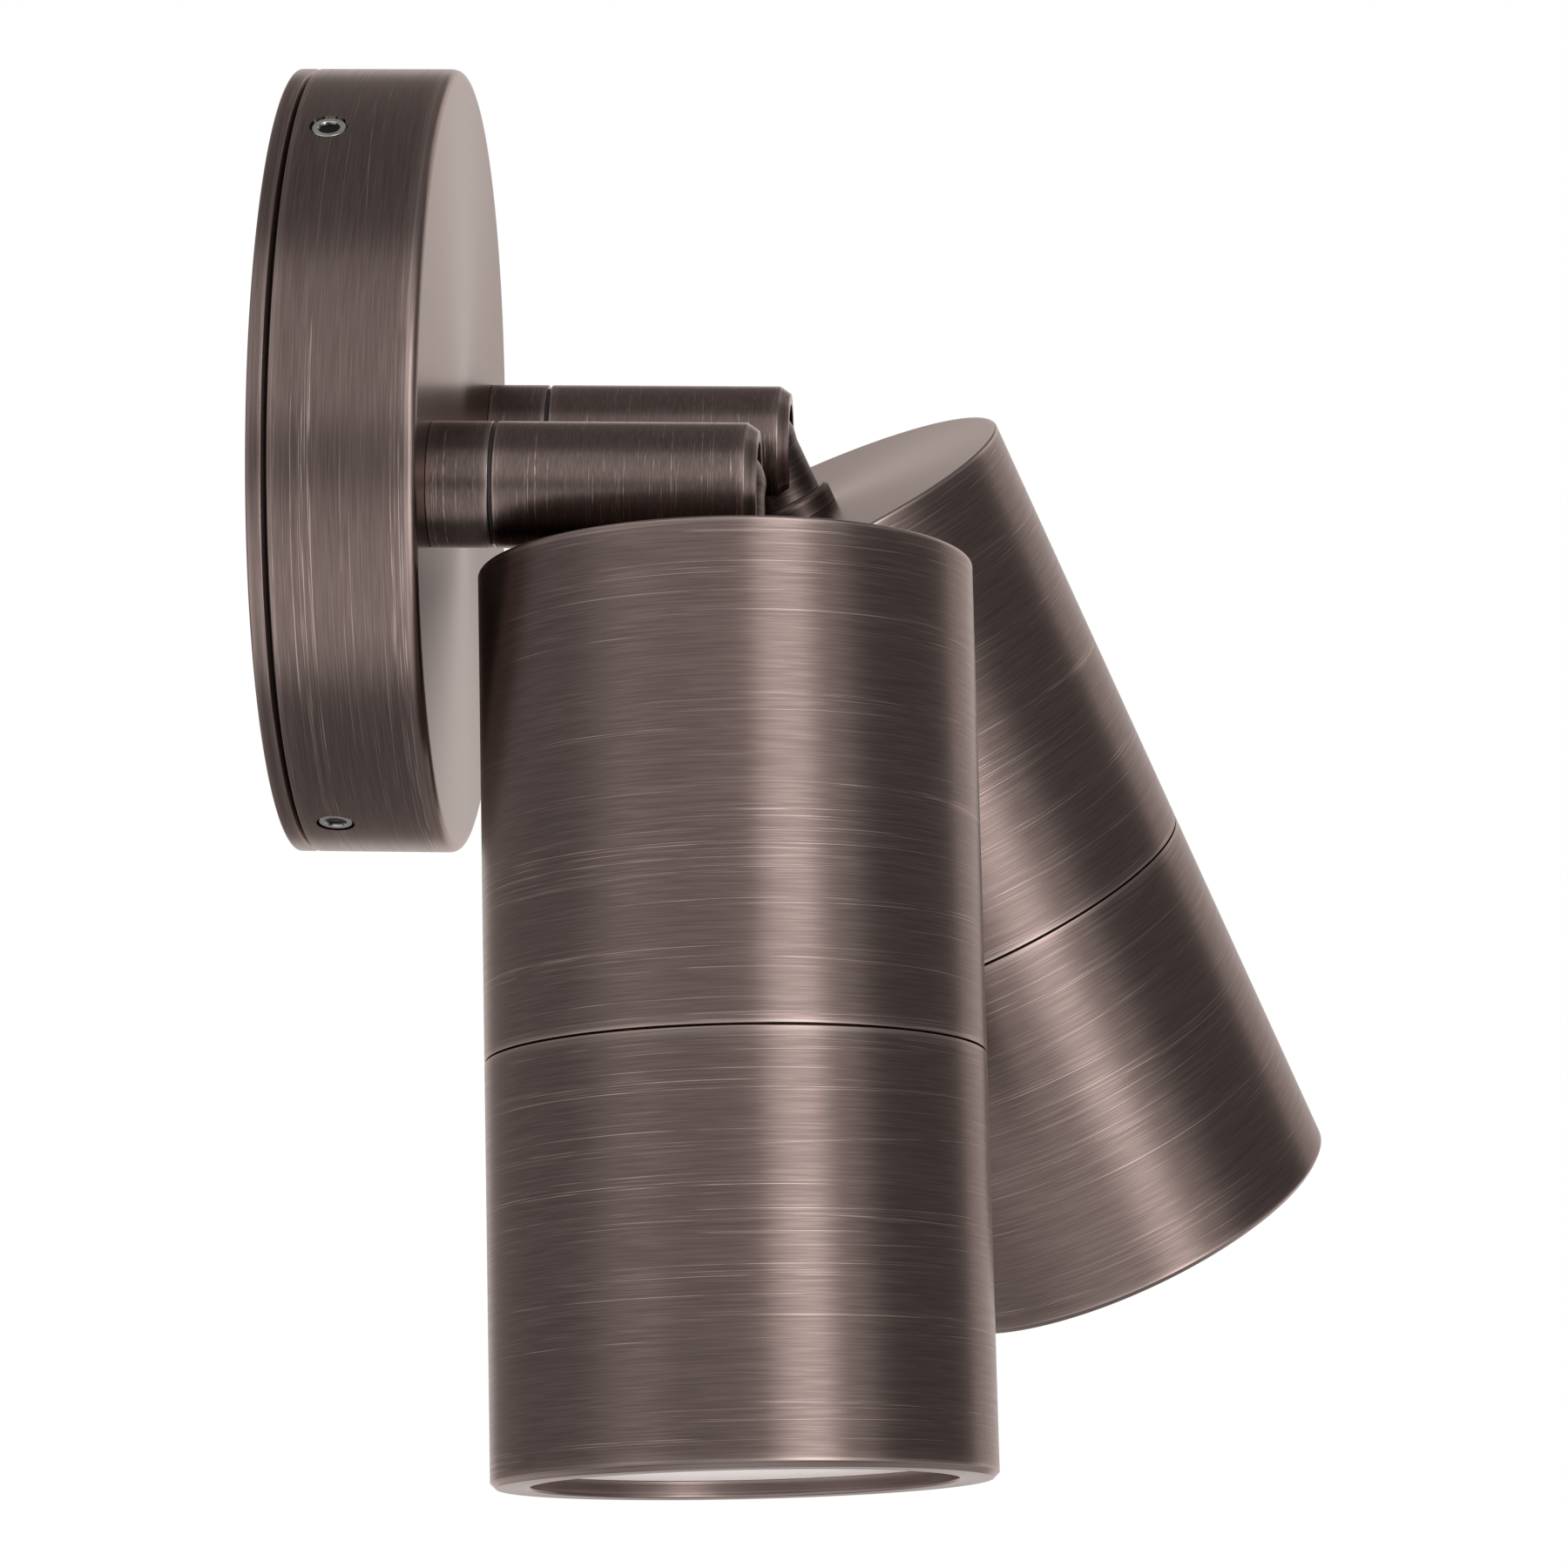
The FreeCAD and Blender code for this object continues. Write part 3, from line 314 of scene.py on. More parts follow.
def rounded_outline(points, small):
    """Round every corner of a closed outline of (radius, height) or (radius, height, round) points.

    A corner without its own round gets the small one. Each round is framed by two more points,
    so that smooth shading stays within it. The result is rows of radius, height and edge wear.
    """
    rows = []
    count = len(points)
    for index, point in enumerate(points):
        here = Vector(point[:2])
        before = Vector(points[index - 1][:2]) - here
        after = Vector(points[(index + 1) % count][:2]) - here
        if here.x == 0.0:
            rows.append((here.x, here.y, 0.0))
            continue
        turn = math.pi - before.angle(after)
        shorter = min(before.length, after.length)
        # A corner that hardly turns stays as it is.
        if turn < math.radians(2.0):
            rows.append((here.x, here.y, 0.0))
            continue
        size = point[2] if len(point) == 3 else small
        # Less than half of a side is taken up, because its other end has a round too.
        reach = min(size * math.tan(turn / 2), 0.42 * shorter)
        frame_reach = min(reach + 0.5 * small, 0.47 * shorter)
        start = here + reach * before.normalized()
        end = here + reach * after.normalized()
        first = here + frame_reach * before.normalized()
        last = here + frame_reach * after.normalized()
        rows.append((first.x, first.y, 0.0))
        # One step for each 15 degrees
        steps = max(3, round(math.degrees(turn) / 15))
        for step in range(steps + 1):
            share = step / steps
            bend = (1 - share) ** 2 * start + 2 * share * (1 - share) * here + share ** 2 * end
            rows.append((bend.x, bend.y, 1.0))
        rows.append((last.x, last.y, 0.0))
    return with_more_rings(rows)


def with_more_rings(rows):
    """Add rings near the ends of an outline's long lines, where the wear of the edges fades out.

    A ring is left out where it would come near those of the line's other end.
    """
    result = []
    for index, row in enumerate(rows):
        result.append(row)
        after = rows[(index + 1) % len(rows)]
        span = math.dist(row[:2], after[:2])
        steps = [step * MM for step in (0.5, 1.2, 2.2, 4.0) if 2.2 * step * MM < span]
        for reach in steps + [span - step for step in reversed(steps)]:
            share = reach / span
            result.append((row[0] + share * (after[0] - row[0]), row[1] + share * (after[1] - row[1]), 0.0))
    return result


def turned_mesh(name, rows, segments):
    """Turn a closed outline about Z into a mesh whose faces point outwards."""
    made = bmesh.new()
    rings = []
    for radius, height, _ in rows:
        if radius == 0.0:
            rings.append([made.verts.new((0, 0, height))])
            continue
        ring = []
        for step in range(segments):
            turn = 2 * math.pi * step / segments
            ring.append(made.verts.new((radius * math.cos(turn), radius * math.sin(turn), height)))
        rings.append(ring)
    for index, ring in enumerate(rings):
        other = rings[(index + 1) % len(rings)]
        for step in range(segments):
            corners = [ring[step % len(ring)], ring[(step + 1) % len(ring)],
                       other[(step + 1) % len(other)], other[step % len(other)]]
            unique = list(dict.fromkeys(corners))
            if len(unique) > 2:
                made.faces.new(unique)
    bmesh.ops.recalc_face_normals(made, faces=made.faces)
    mesh = bpy.data.meshes.new(name)
    made.to_mesh(mesh)
    made.free()
    mesh.shade_smooth()
    return mesh


def prism_mesh(name, outline, low, high, lie=Matrix.Identity(4)):
    """A straight-sided block over an outline of (x, y) points, for cutting."""
    made = bmesh.new()
    bottom = [made.verts.new((x, y, low)) for x, y in outline]
    top = [made.verts.new((x, y, high)) for x, y in outline]
    made.faces.new(bottom)
    made.faces.new(top)
    for index, corner in enumerate(bottom):
        after = (index + 1) % len(bottom)
        made.faces.new((corner, bottom[after], top[after], top[index]))
    bmesh.ops.recalc_face_normals(made, faces=made.faces)
    made.transform(lie)
    mesh = bpy.data.meshes.new(name)
    made.to_mesh(mesh)
    made.free()
    return mesh


def circle(radius, segments, across=0.0, up=0.0):
    """Points round a circle, for a prism."""
    turns = [2 * math.pi * step / segments for step in range(segments)]
    return [(across + radius * math.cos(turn), up + radius * math.sin(turn)) for turn in turns]


def applied(obj):
    """Turn an object's modifiers into its plain mesh."""
    graph = bpy.context.evaluated_depsgraph_get()
    mesh = bpy.data.meshes.new_from_object(obj.evaluated_get(graph))
    obj.modifiers.clear()
    obj.data = mesh
    return mesh


def linked(name, mesh):
    """A new object at the origin, in the scene."""
    obj = bpy.data.objects.new(name, mesh)
    bpy.context.scene.collection.objects.link(obj)
    return obj


def cut(obj, cutters, edge):
    """Cut holes and slots, then break their edges with a small bevel."""
    for mesh in cutters:
        tool = linked("cutter", mesh)
        boolean = obj.modifiers.new("Cut", "BOOLEAN")
        boolean.object = tool
        boolean.operation = "DIFFERENCE"
        boolean.solver = "EXACT"
        bpy.context.view_layer.update()
        applied(obj)
        bpy.data.objects.remove(tool)
    bevel = obj.modifiers.new("Broken edges", "BEVEL")
    bevel.width = edge
    bevel.segments = 2
    bevel.limit_method = "ANGLE"
    bevel.angle_limit = math.radians(40)
    bevel.harden_normals = True
    bpy.context.view_layer.update()
    applied(obj)
    obj.data.shade_smooth()


def write_values(mesh, name, values):
    """Keep one number for each vertex of a mesh, for its finish to read."""
    mesh.attributes.new(name, "FLOAT", "POINT").data.foreach_set("value", values.astype(np.float32))


def mark_surface(mesh, rows, closeness=1.0, wear_share=1.0):
    """Give a turned mesh what its finish reads.

    "brushed" holds the place across the axis and the way run along the outline.
    "worn" is 1 on edges and fades away within half a millimetre, "near_edge" does so within a few.
    "faced" is 1 on faces that lie across the axis. The UV map's U runs round the axis, as the brushing does.
    A closeness above 1 shortens the brush strokes on a slim piece, and a wear share below 1 weakens the
    wear of its edges.
    """
    outline = np.array(rows)
    starts, wear = outline[:, :2], outline[:, 2]
    ends = np.roll(starts, -1, axis=0)
    spans = ends - starts
    lengths = np.linalg.norm(spans, axis=1)
    run = np.concatenate(([0.0], np.cumsum(lengths)[:-1]))
    points = points_of(mesh)
    flat = np.stack((np.hypot(points[:, 0], points[:, 1]), points[:, 2]), axis=1)
    offsets = flat[:, None, :] - starts[None, :, :]
    share = np.clip((offsets * spans).sum(2) / np.maximum(lengths ** 2, 1e-18), 0.0, 1.0)
    misses = np.linalg.norm(offsets - share[:, :, None] * spans, axis=2)
    nearest = misses.argmin(axis=1)
    rows_of = np.arange(len(points))
    share = share[rows_of, nearest]
    along = run[nearest] + share * lengths[nearest]
    whole = lengths.sum()
    apart = np.abs(along[:, None] - run[wear > 0][None, :])
    apart = np.minimum(apart, whole - apart).min(axis=1)
    faced = np.abs(spans[nearest, 0]) / np.maximum(lengths[nearest], 1e-9)
    brushed = mesh.attributes.new("brushed", "FLOAT_VECTOR", "POINT")
    run_round = np.column_stack((closeness * points[:, :2], along))
    brushed.data.foreach_set("vector", run_round.astype(np.float32).ravel())
    write_values(mesh, "faced", faced)
    write_values(mesh, "worn", wear_share * np.exp(-apart / WEAR_REACH))
    write_values(mesh, "near_edge", np.exp(-apart / GATHER_REACH))
    turns = np.arctan2(points[:, 1], points[:, 0]) / (2 * math.pi)
    while mesh.uv_layers:
        mesh.uv_layers.remove(mesh.uv_layers[0])
    layer = mesh.uv_layers.new(name="turned")
    for face in mesh.polygons:
        middle = math.atan2(face.center.y, face.center.x) / (2 * math.pi)
        for corner in face.loop_indices:
            vertex = mesh.loops[corner].vertex_index
            turn = turns[vertex] if flat[vertex, 0] > 1e-6 else middle
            turn += round(middle - turn)
            layer.data[corner].uv = (turn, along[vertex] / whole)


def finish_piece(obj, place, body, nodes, material):
    """Put a piece's mesh in its place with its material, attach it to its body and hide the CAD nodes that it
    stands for.
    """
    obj.data.transform(place)
    obj.data.materials.clear()
    obj.data.materials.append(material)
    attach(obj, body)
    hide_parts(*nodes)


def turned_piece(name, points, place, body, nodes, material, cutters=(), small=0.15 * MM, segments=128,
                 edge=0.12 * MM, closeness=1.0, wear_share=1.0):
    """Make a turned piece from its outline, cut it, mark its surface and put it in its place.

    The small round breaks the corners of its outline, and the edge's bevel those that the cutters leave.
    """
    rows = rounded_outline(points, small)
    obj = linked(name, turned_mesh(name, rows, segments))
    if cutters:
        cut(obj, cutters, edge)
    mark_surface(obj.data, rows, closeness, wear_share)
    finish_piece(obj, place, body, nodes, material)


# Materials


def put(tree, kind, inputs=None, **settings):
    """Add one node. An input gets a value, or a link from a node's first output or from a given socket."""
    made = tree.nodes.new(kind)
    made.location = (220 * len(tree.nodes), 0)
    for name, value in settings.items():
        setattr(made, name, value)
    for name, value in (inputs or {}).items():
        if isinstance(value, bpy.types.Node):
            value = value.outputs[0]
        if isinstance(value, bpy.types.NodeSocket):
            tree.links.new(value, made.inputs[name])
        else:
            made.inputs[name].default_value = value
    return made


# Sockets of the Mix node when it mixes colours
MIX_A, MIX_B, MIX_RESULT = 6, 7, 2


def new_material(name):
    """A material without nodes, and its node tree, or None for the tree if the material is there already."""
    material = bpy.data.materials.get(name)
    if material:
        return material, None
    material = bpy.data.materials.new(name)
    material.use_nodes = True
    material.node_tree.nodes.clear()
    return material, material.node_tree


def rgba(values):
    """A colour property as the four numbers of a colour socket."""
    return (*values, 1.0)


def streaks(long, wide):
    """The scale of a noise whose cells are this long round the axis and this wide along the outline."""
    return (1 / long, 1 / long, 1 / wide)


# The passes of the abrasive that leave hairlines: how many degrees they lean on a tube, where their noise is
# read, how high it is where a line begins, and how far the lines run on, as a multiple of their usual length.
# The last pass runs right round the tube, as the lathe's own marks do.
HAIR_PASSES = (
    (0.0, 0.3, 0.775, 1.0),
    (0.7, 1.7, 0.795, 1.0),
    (-1.0, 4.1, 0.805, 1.0),
    (2.4, 7.9, 0.83, 1.0),
    (0.2, 5.3, 0.77, 5.0),
)


def hairlines(tree, place, gathering, closeness, long):
    """Hairlines a tenth of a millimetre wide, 1 along their middles: the peaks of a noise in wider cells."""
    hairs = []
    for lean, offset, floor, reach in HAIR_PASSES:
        slope = math.radians(lean / closeness)
        turned = put(tree, "ShaderNodeMapping", {"Vector": place, "Rotation": (slope, -0.7 * slope, 0.0)})
        spread = put(tree, "ShaderNodeMapping",
                     {"Vector": turned, "Location": (offset, 2 * offset, 3 * offset),
                      "Scale": streaks(reach * long, MM / 6)})
        noise = put(tree, "ShaderNodeTexNoise", {"Vector": spread, "Scale": 1.0, "Detail": 0.0})
        gathered = put(tree, "ShaderNodeMath", {0: noise, 1: gathering}, operation="ADD")
        line = put(tree, "ShaderNodeMapRange",
                   {"Value": gathered, "From Min": floor, "From Max": floor + 0.1},
                   interpolation_type="SMOOTHSTEP")
        hairs.append(line)
    hair = hairs[0]
    for other in hairs[1:]:
        hair = put(tree, "ShaderNodeMath", {0: hair, 1: other}, operation="MAXIMUM")
    return hair


def brushed_bronze(finish, title="Brushed dark bronze", depth=1.0, rougher=0.0, closeness=1.0,
                   hair_long=TUBE_HAIR):
    """Cast brass with a dark bronze patina, brushed in the lathe with a fine abrasive.

    The brushing runs round the axis: fine grain, longer strokes, and hairlines that show the bare metal.
    It draws every reflection out along the axis, so lamps show as soft bands down the tubes.
    A depth below 1 darkens the patina and the bare metal alike: painted shade, for pieces that lie in the
    shade of others.
    The value of rougher is added to the roughness.
    A slim piece's closeness keeps its hairlines from leaning more than a tube's.
    """
    material, tree = new_material(title)
    if tree is None:
        return material
    patina_colour, shade_colour, bare_colour = (
        rgba([depth * channel for channel in tone]) for tone in (finish.patina, finish.shade, finish.bare))
    place = put(tree, "ShaderNodeAttribute", attribute_name="brushed").outputs["Vector"]
    # The grit's lines are 0.03 mm wide and wouldn't show, so the grain is drawn a sixth of a millimetre wide
    # and some 7 mm long.
    grain_place = put(tree, "ShaderNodeMapping", {"Vector": place, "Scale": streaks(MM / 0.15, MM / 6)})
    grain = put(tree, "ShaderNodeTexNoise",
                {"Vector": grain_place, "Scale": 1.0, "Detail": 1.0, "Roughness": 0.5})
    # Strokes of the abrasive, a third of a millimetre wide, that run half round the tube
    # On faces they are shallower.
    stroke_place = put(tree, "ShaderNodeMapping", {"Vector": place, "Scale": streaks(MM / 0.014, MM / 2.8)})
    any_stroke = put(tree, "ShaderNodeTexNoise",
                     {"Vector": stroke_place, "Scale": 1.0, "Detail": 2.0, "Roughness": 0.6})
    faced = put(tree, "ShaderNodeAttribute", attribute_name="faced").outputs["Fac"]
    evening = put(tree, "ShaderNodeMath", {0: faced, 1: 0.85}, operation="MULTIPLY")
    stroke = put(tree, "ShaderNodeMix", {0: evening, 2: any_stroke, 3: 0.5}, data_type="FLOAT")
    # Clouds of thicker patina, 25 mm across
    cloud = put(tree, "ShaderNodeTexNoise", {"Vector": place, "Scale": 1 / (25 * MM), "Detail": 2.0})
    # Where the hairlines gather: bands some 4 mm wide, and along the edges
    band_place = put(tree, "ShaderNodeMapping", {"Vector": place, "Scale": streaks(MM / 0.012, MM / 0.24)})
    band = put(tree, "ShaderNodeTexNoise", {"Vector": band_place, "Scale": 1.0, "Detail": 1.0})
    shift = put(tree, "ShaderNodeMapRange",
                {"Value": band, "From Min": 0.35, "From Max": 0.65, "To Min": -0.06, "To Max": 0.06})
    near_edge = put(tree, "ShaderNodeAttribute", attribute_name="near_edge").outputs["Fac"]
    gathering = put(tree, "ShaderNodeMath", {0: near_edge, 1: 0.07, 2: shift}, operation="MULTIPLY_ADD")
    hair = hairlines(tree, place, gathering, closeness, hair_long)
    # The grain breaks the hairlines up into dashes.
    broken = put(tree, "ShaderNodeMapRange",
                 {"Value": grain, "From Min": 0.35, "From Max": 0.6, "To Min": 0.15, "To Max": 1.0})
    hair = put(tree, "ShaderNodeMath", {0: hair, 1: broken}, operation="MULTIPLY")
    # The patina's own colour, darker in its clouds and strokes
    thick = put(tree, "ShaderNodeMath", {0: any_stroke, 1: cloud}, operation="ADD")
    thick_share = put(tree, "ShaderNodeMapRange", {"Value": thick, "From Min": -0.2, "From Max": 2.2})
    patina = put(tree, "ShaderNodeMix",
                 {0: thick_share, MIX_A: shade_colour, MIX_B: patina_colour}, data_type="RGBA")
    grain_share = put(tree, "ShaderNodeMapRange",
                      {"Value": grain, "From Min": 0.35, "From Max": 0.8, "To Min": 0.0, "To Max": 0.12})
    # Faces across the axis are brushed more finely: they are smoother and show next to none of the hairlines.
    lines = put(tree, "ShaderNodeMapRange", {"Value": faced, "To Min": 1.0, "To Max": 0.2})
    grain_seen = put(tree, "ShaderNodeMath", {0: grain_share, 1: lines}, operation="MULTIPLY")
    grained = put(tree, "ShaderNodeMix",
                  {0: grain_seen, MIX_A: patina.outputs[MIX_RESULT], MIX_B: bare_colour}, data_type="RGBA")
    # Bare metal along the edges and, for somewhat more than half, in the hairlines
    hair_seen = put(tree, "ShaderNodeMath", {0: hair, 1: lines}, operation="MULTIPLY")
    hair_share = put(tree, "ShaderNodeMath", {0: hair_seen, 1: 0.58}, operation="MULTIPLY")
    worn = put(tree, "ShaderNodeAttribute", attribute_name="worn").outputs["Fac"]
    worn_lines = put(tree, "ShaderNodeMapRange",
                     {"Value": stroke, "From Min": 0.42, "From Max": 0.68, "To Min": 0.2, "To Max": 0.7})
    worn_share = put(tree, "ShaderNodeMath", {0: worn, 1: worn_lines}, operation="MULTIPLY")
    faced_share = put(tree, "ShaderNodeMath", {0: faced, 1: 0.12}, operation="MULTIPLY")
    opened = put(tree, "ShaderNodeMath", {0: hair_share, 1: worn_share}, operation="MAXIMUM")
    bare_share = put(tree, "ShaderNodeMath", {0: opened, 1: faced_share}, operation="MAXIMUM")
    colour_mix = put(tree, "ShaderNodeMix",
                     {0: bare_share, MIX_A: grained.outputs[MIX_RESULT], MIX_B: bare_colour},
                     data_type="RGBA")
    brush_rough = put(tree, "ShaderNodeMapRange",
                      {"Value": stroke, "From Min": 0.3, "From Max": 0.7,
                       "To Min": finish.roughness + rougher - 0.02,
                       "To Max": finish.roughness + rougher + 0.03})
    rough = put(tree, "ShaderNodeMath", {0: faced, 1: -0.035, 2: brush_rough}, operation="MULTIPLY_ADD")
    ridges = put(tree, "ShaderNodeMath", {0: grain, 1: hair}, operation="ADD")
    relief = put(tree, "ShaderNodeMath", {0: ridges, 1: lines}, operation="MULTIPLY")
    # The brushing is two hundredths of a millimetre deep.
    bump = put(tree, "ShaderNodeBump", {"Height": relief, "Strength": 0.35, "Distance": 0.02 * MM})
    tangent = put(tree, "ShaderNodeTangent", direction_type="UV_MAP", uv_map="turned")
    metal = put(tree, "ShaderNodeBsdfPrincipled",
                {"Base Color": colour_mix.outputs[MIX_RESULT], "Roughness": rough, "Normal": bump,
                 "Tangent": tangent, "Metallic": 1.0, "Anisotropic": finish.brushing,
                 "Anisotropic Rotation": 0.25, "Specular Tint": rgba(finish.glancing)})
    put(tree, "ShaderNodeOutputMaterial", {"Surface": metal})
    return material


# For each slot: the material's name, base colour, second colour, metallic, roughness, its spread,
# grain size in mm, bump depth in mm, and any other settings of the shader
PLAIN_FINISHES = {
    # Bronze where only the CAD's piece is kept, chemically darkened: a satin, almost even brown
    "brushed_bronze": ("Darkened bronze", "655752", "4d413d", 1.0, 0.36, 0.1, 0.5, 0.01, {}),
    # Free-cutting brass as it leaves the lathe: yellow and bright, with fine turning marks
    "plain_brass": ("Machined brass", "d9b870", "bf9850", 1.0, 0.28, 0.1, 0.4, 0.01, {}),
    # A2 stainless screws, cold headed and tumbled: pale grey and slightly glossy
    "stainless_steel": ("Stainless steel screws", "c9c6c2", "a19d99", 1.0, 0.26, 0.12, 0.35, 0.01, {}),
    # Mild steel with bright zinc: cool grey with a faint bluish bloom
    "zinc_steel": ("Zinc plated steel", "c3c7ca", "a4aab0", 1.0, 0.34, 0.14, 2.2, 0.01, {}),
    # Nickel plated lamp pins: smooth and slightly warm
    "nickel_steel": ("Nickel plated pins", "d3cec4", "bcb6aa", 1.0, 0.2, 0.08, 0.8, 0.005, {}),
    # Moulded EPDM rubber: matt black, a little grey where it is touched
    "black_rubber": ("Moulded rubber", "1c1b1b", "2a2928", 0.0, 0.72, 0.12, 0.25, 0.02, {}),
    # Closed-cell rubber foam: matt black with pores of half a millimetre
    "foam_rubber": ("Closed-cell foam", "222120", "131212", 0.0, 0.9, 0.06, 0.5, 0.15, {}),
    # Cast silicone: milky and soft, with a dull sheen
    "silicone_rubber": ("Cast silicone", "dcdad4", "c8c5be", 0.0, 0.5, 0.1, 0.9, 0.01,
                        {"Subsurface Weight": 0.15, "Subsurface Scale": 0.001}),
    # Extruded silicone sleeve of the leads
    "silicone_sleeve": ("Silicone lead sleeve", "e9e6de", "d6d2c8", 0.0, 0.46, 0.1, 0.7, 0.01, {}),
    # Glass-filled nylon washers: matt black
    "black_nylon": ("Black nylon", "1f1e1e", "2c2a2a", 0.0, 0.55, 0.12, 0.3, 0.01, {}),
    # Moulded polyamide terminal block: cool white with a fine spark-eroded texture
    "white_plastic": ("Moulded polyamide", "e6e6e2", "d8d7d2", 0.0, 0.48, 0.1, 0.35, 0.02, {}),
    # Moulded PBT of the lamp's shell: white and satin
    "lamp_plastic": ("Lamp shell plastic", "e8e8e6", "dcdcda", 0.0, 0.42, 0.1, 0.6, 0.01, {}),
    # Pressed steatite: warm white, unglazed and slightly grainy
    "steatite": ("Pressed steatite", "ded7c9", "c9c0af", 0.0, 0.66, 0.12, 0.45, 0.03, {}),
}


def plain_finish(key):
    """A finish that is the same all round: its colour and roughness drift with noise on Object coordinates.

    Where a mesh's "sunk" attribute is 1, deep in a socket, its colour is drawn near black: painted shade.
    """
    title, first, second, metallic, roughness, spread, size, depth, extra = PLAIN_FINISHES[key]
    material, tree = new_material(title)
    if tree is None:
        return material
    place = put(tree, "ShaderNodeTexCoord").outputs["Object"]
    fine = put(tree, "ShaderNodeTexNoise", {"Vector": place, "Scale": 1.0 / (size * MM), "Detail": 3.0})
    wide = put(tree, "ShaderNodeTexNoise", {"Vector": place, "Scale": 0.1 / (size * MM), "Detail": 2.0})
    blend = put(tree, "ShaderNodeMapRange", {"Value": wide, "From Min": 0.3, "From Max": 0.7})
    shade = put(tree, "ShaderNodeMix",
                {0: blend, MIX_A: rgba(linear(first)), MIX_B: rgba(linear(second))}, data_type="RGBA")
    # Painted shade: deep in a screw's socket the colour is mixed towards near black.
    sunk = put(tree, "ShaderNodeAttribute", attribute_name="sunk").outputs["Fac"]
    shade = put(tree, "ShaderNodeMix",
                {0: sunk, MIX_A: shade.outputs[MIX_RESULT], MIX_B: rgba(linear("1b1615"))}, data_type="RGBA")
    rough = put(tree, "ShaderNodeMapRange",
                {"Value": fine, "From Min": 0.3, "From Max": 0.7, "To Min": roughness - spread / 2,
                 "To Max": roughness + spread / 2})
    bump = put(tree, "ShaderNodeBump", {"Height": fine, "Strength": 0.3, "Distance": depth * MM})
    surface = put(tree, "ShaderNodeBsdfPrincipled",
                  {"Base Color": shade.outputs[MIX_RESULT], "Roughness": rough, "Normal": bump,
                   "Metallic": metallic, **extra})
    put(tree, "ShaderNodeOutputMaterial", {"Surface": surface})
    return material


# For each clear slot: the material's name, its two colours, the size of its clouds in mm, how high their
# noise is where the roughness begins and ends to rise, its values there, and the settings of the shader
CLEAR_FINISHES = {
    # Toughened glass with a satin, slightly milky surface, which keeps a lit lamp from dazzling.
    # Its sheen is the pale haze that an etched surface shows at a glancing angle.
    "lens_glass": ("Satin toughened glass", "ebe8e6", "e6e3e1", 25.0, 0.3, 0.7, 0.36, 0.4,
                   {"IOR": 1.52, "Transmission Weight": 0.55, "Sheen Weight": 1.0, "Sheen Roughness": 0.3,
                    "Sheen Tint": rgba(linear("fff4f2"))}),
    # Moulded acrylic of the lamp's optic: glossy and milky, so that it spreads the light behind it
    "lamp_optic": ("Moulded acrylic optic", "f6f6f4", "e9eae9", 3.85, 0.0, 1.0, 0.06, 0.16,
                   {"IOR": 1.49, "Transmission Weight": 0.2}),
}


def clear_finish(key):
    """A finish that light goes through: its colour and roughness drift with clouds on Object coordinates."""
    title, first, second, size, low, high, smoother, rougher, settings = CLEAR_FINISHES[key]
    material, tree = new_material(title)
    if tree is None:
        return material
    place = put(tree, "ShaderNodeTexCoord").outputs["Object"]
    clouds = put(tree, "ShaderNodeTexNoise", {"Vector": place, "Scale": 1 / (size * MM), "Detail": 2.0})
    tint = put(tree, "ShaderNodeMix", {0: clouds, MIX_A: rgba(linear(first)), MIX_B: rgba(linear(second))},
               data_type="RGBA")
    rough = put(tree, "ShaderNodeMapRange",
                {"Value": clouds, "From Min": low, "From Max": high, "To Min": smoother, "To Max": rougher})
    clear = put(tree, "ShaderNodeBsdfPrincipled",
                {"Base Color": tint.outputs[MIX_RESULT], "Roughness": rough, **settings})
    put(tree, "ShaderNodeOutputMaterial", {"Surface": clear})
    return material


# Geometry Nodes


def node_group(name, inputs):
    """A node group with a geometry output and named inputs: numbers by default, or None for a material."""
    group = bpy.data.node_groups.new(name, "GeometryNodeTree")
    kinds = {int: "NodeSocketInt", float: "NodeSocketFloat", type(None): "NodeSocketMaterial"}
    for label, default in inputs.items():
        socket = group.interface.new_socket(label, in_out="INPUT", socket_type=kinds[type(default)])
        if default is not None:
            socket.default_value = default
    group.interface.new_socket("Geometry", in_out="OUTPUT", socket_type="NodeSocketGeometry")
    return group, put(group, "NodeGroupInput").outputs


def grown(name, group, values):
    """Run a node group with its inputs set, and keep the result as an object with a plain mesh."""
    obj = linked(name, bpy.data.meshes.new(name))
    modifier = obj.modifiers.new(group.name, "NODES")
    modifier.node_group = group
    for item in group.interface.items_tree:
        if item.item_type == "SOCKET" and item.in_out == "INPUT" and item.name in values:
            modifier[item.identifier] = values[item.name]
    bpy.context.view_layer.update()
    applied(obj)
    obj.data.shade_smooth()
    obj.data.set_sharp_from_angle(angle=math.radians(35))
    return obj


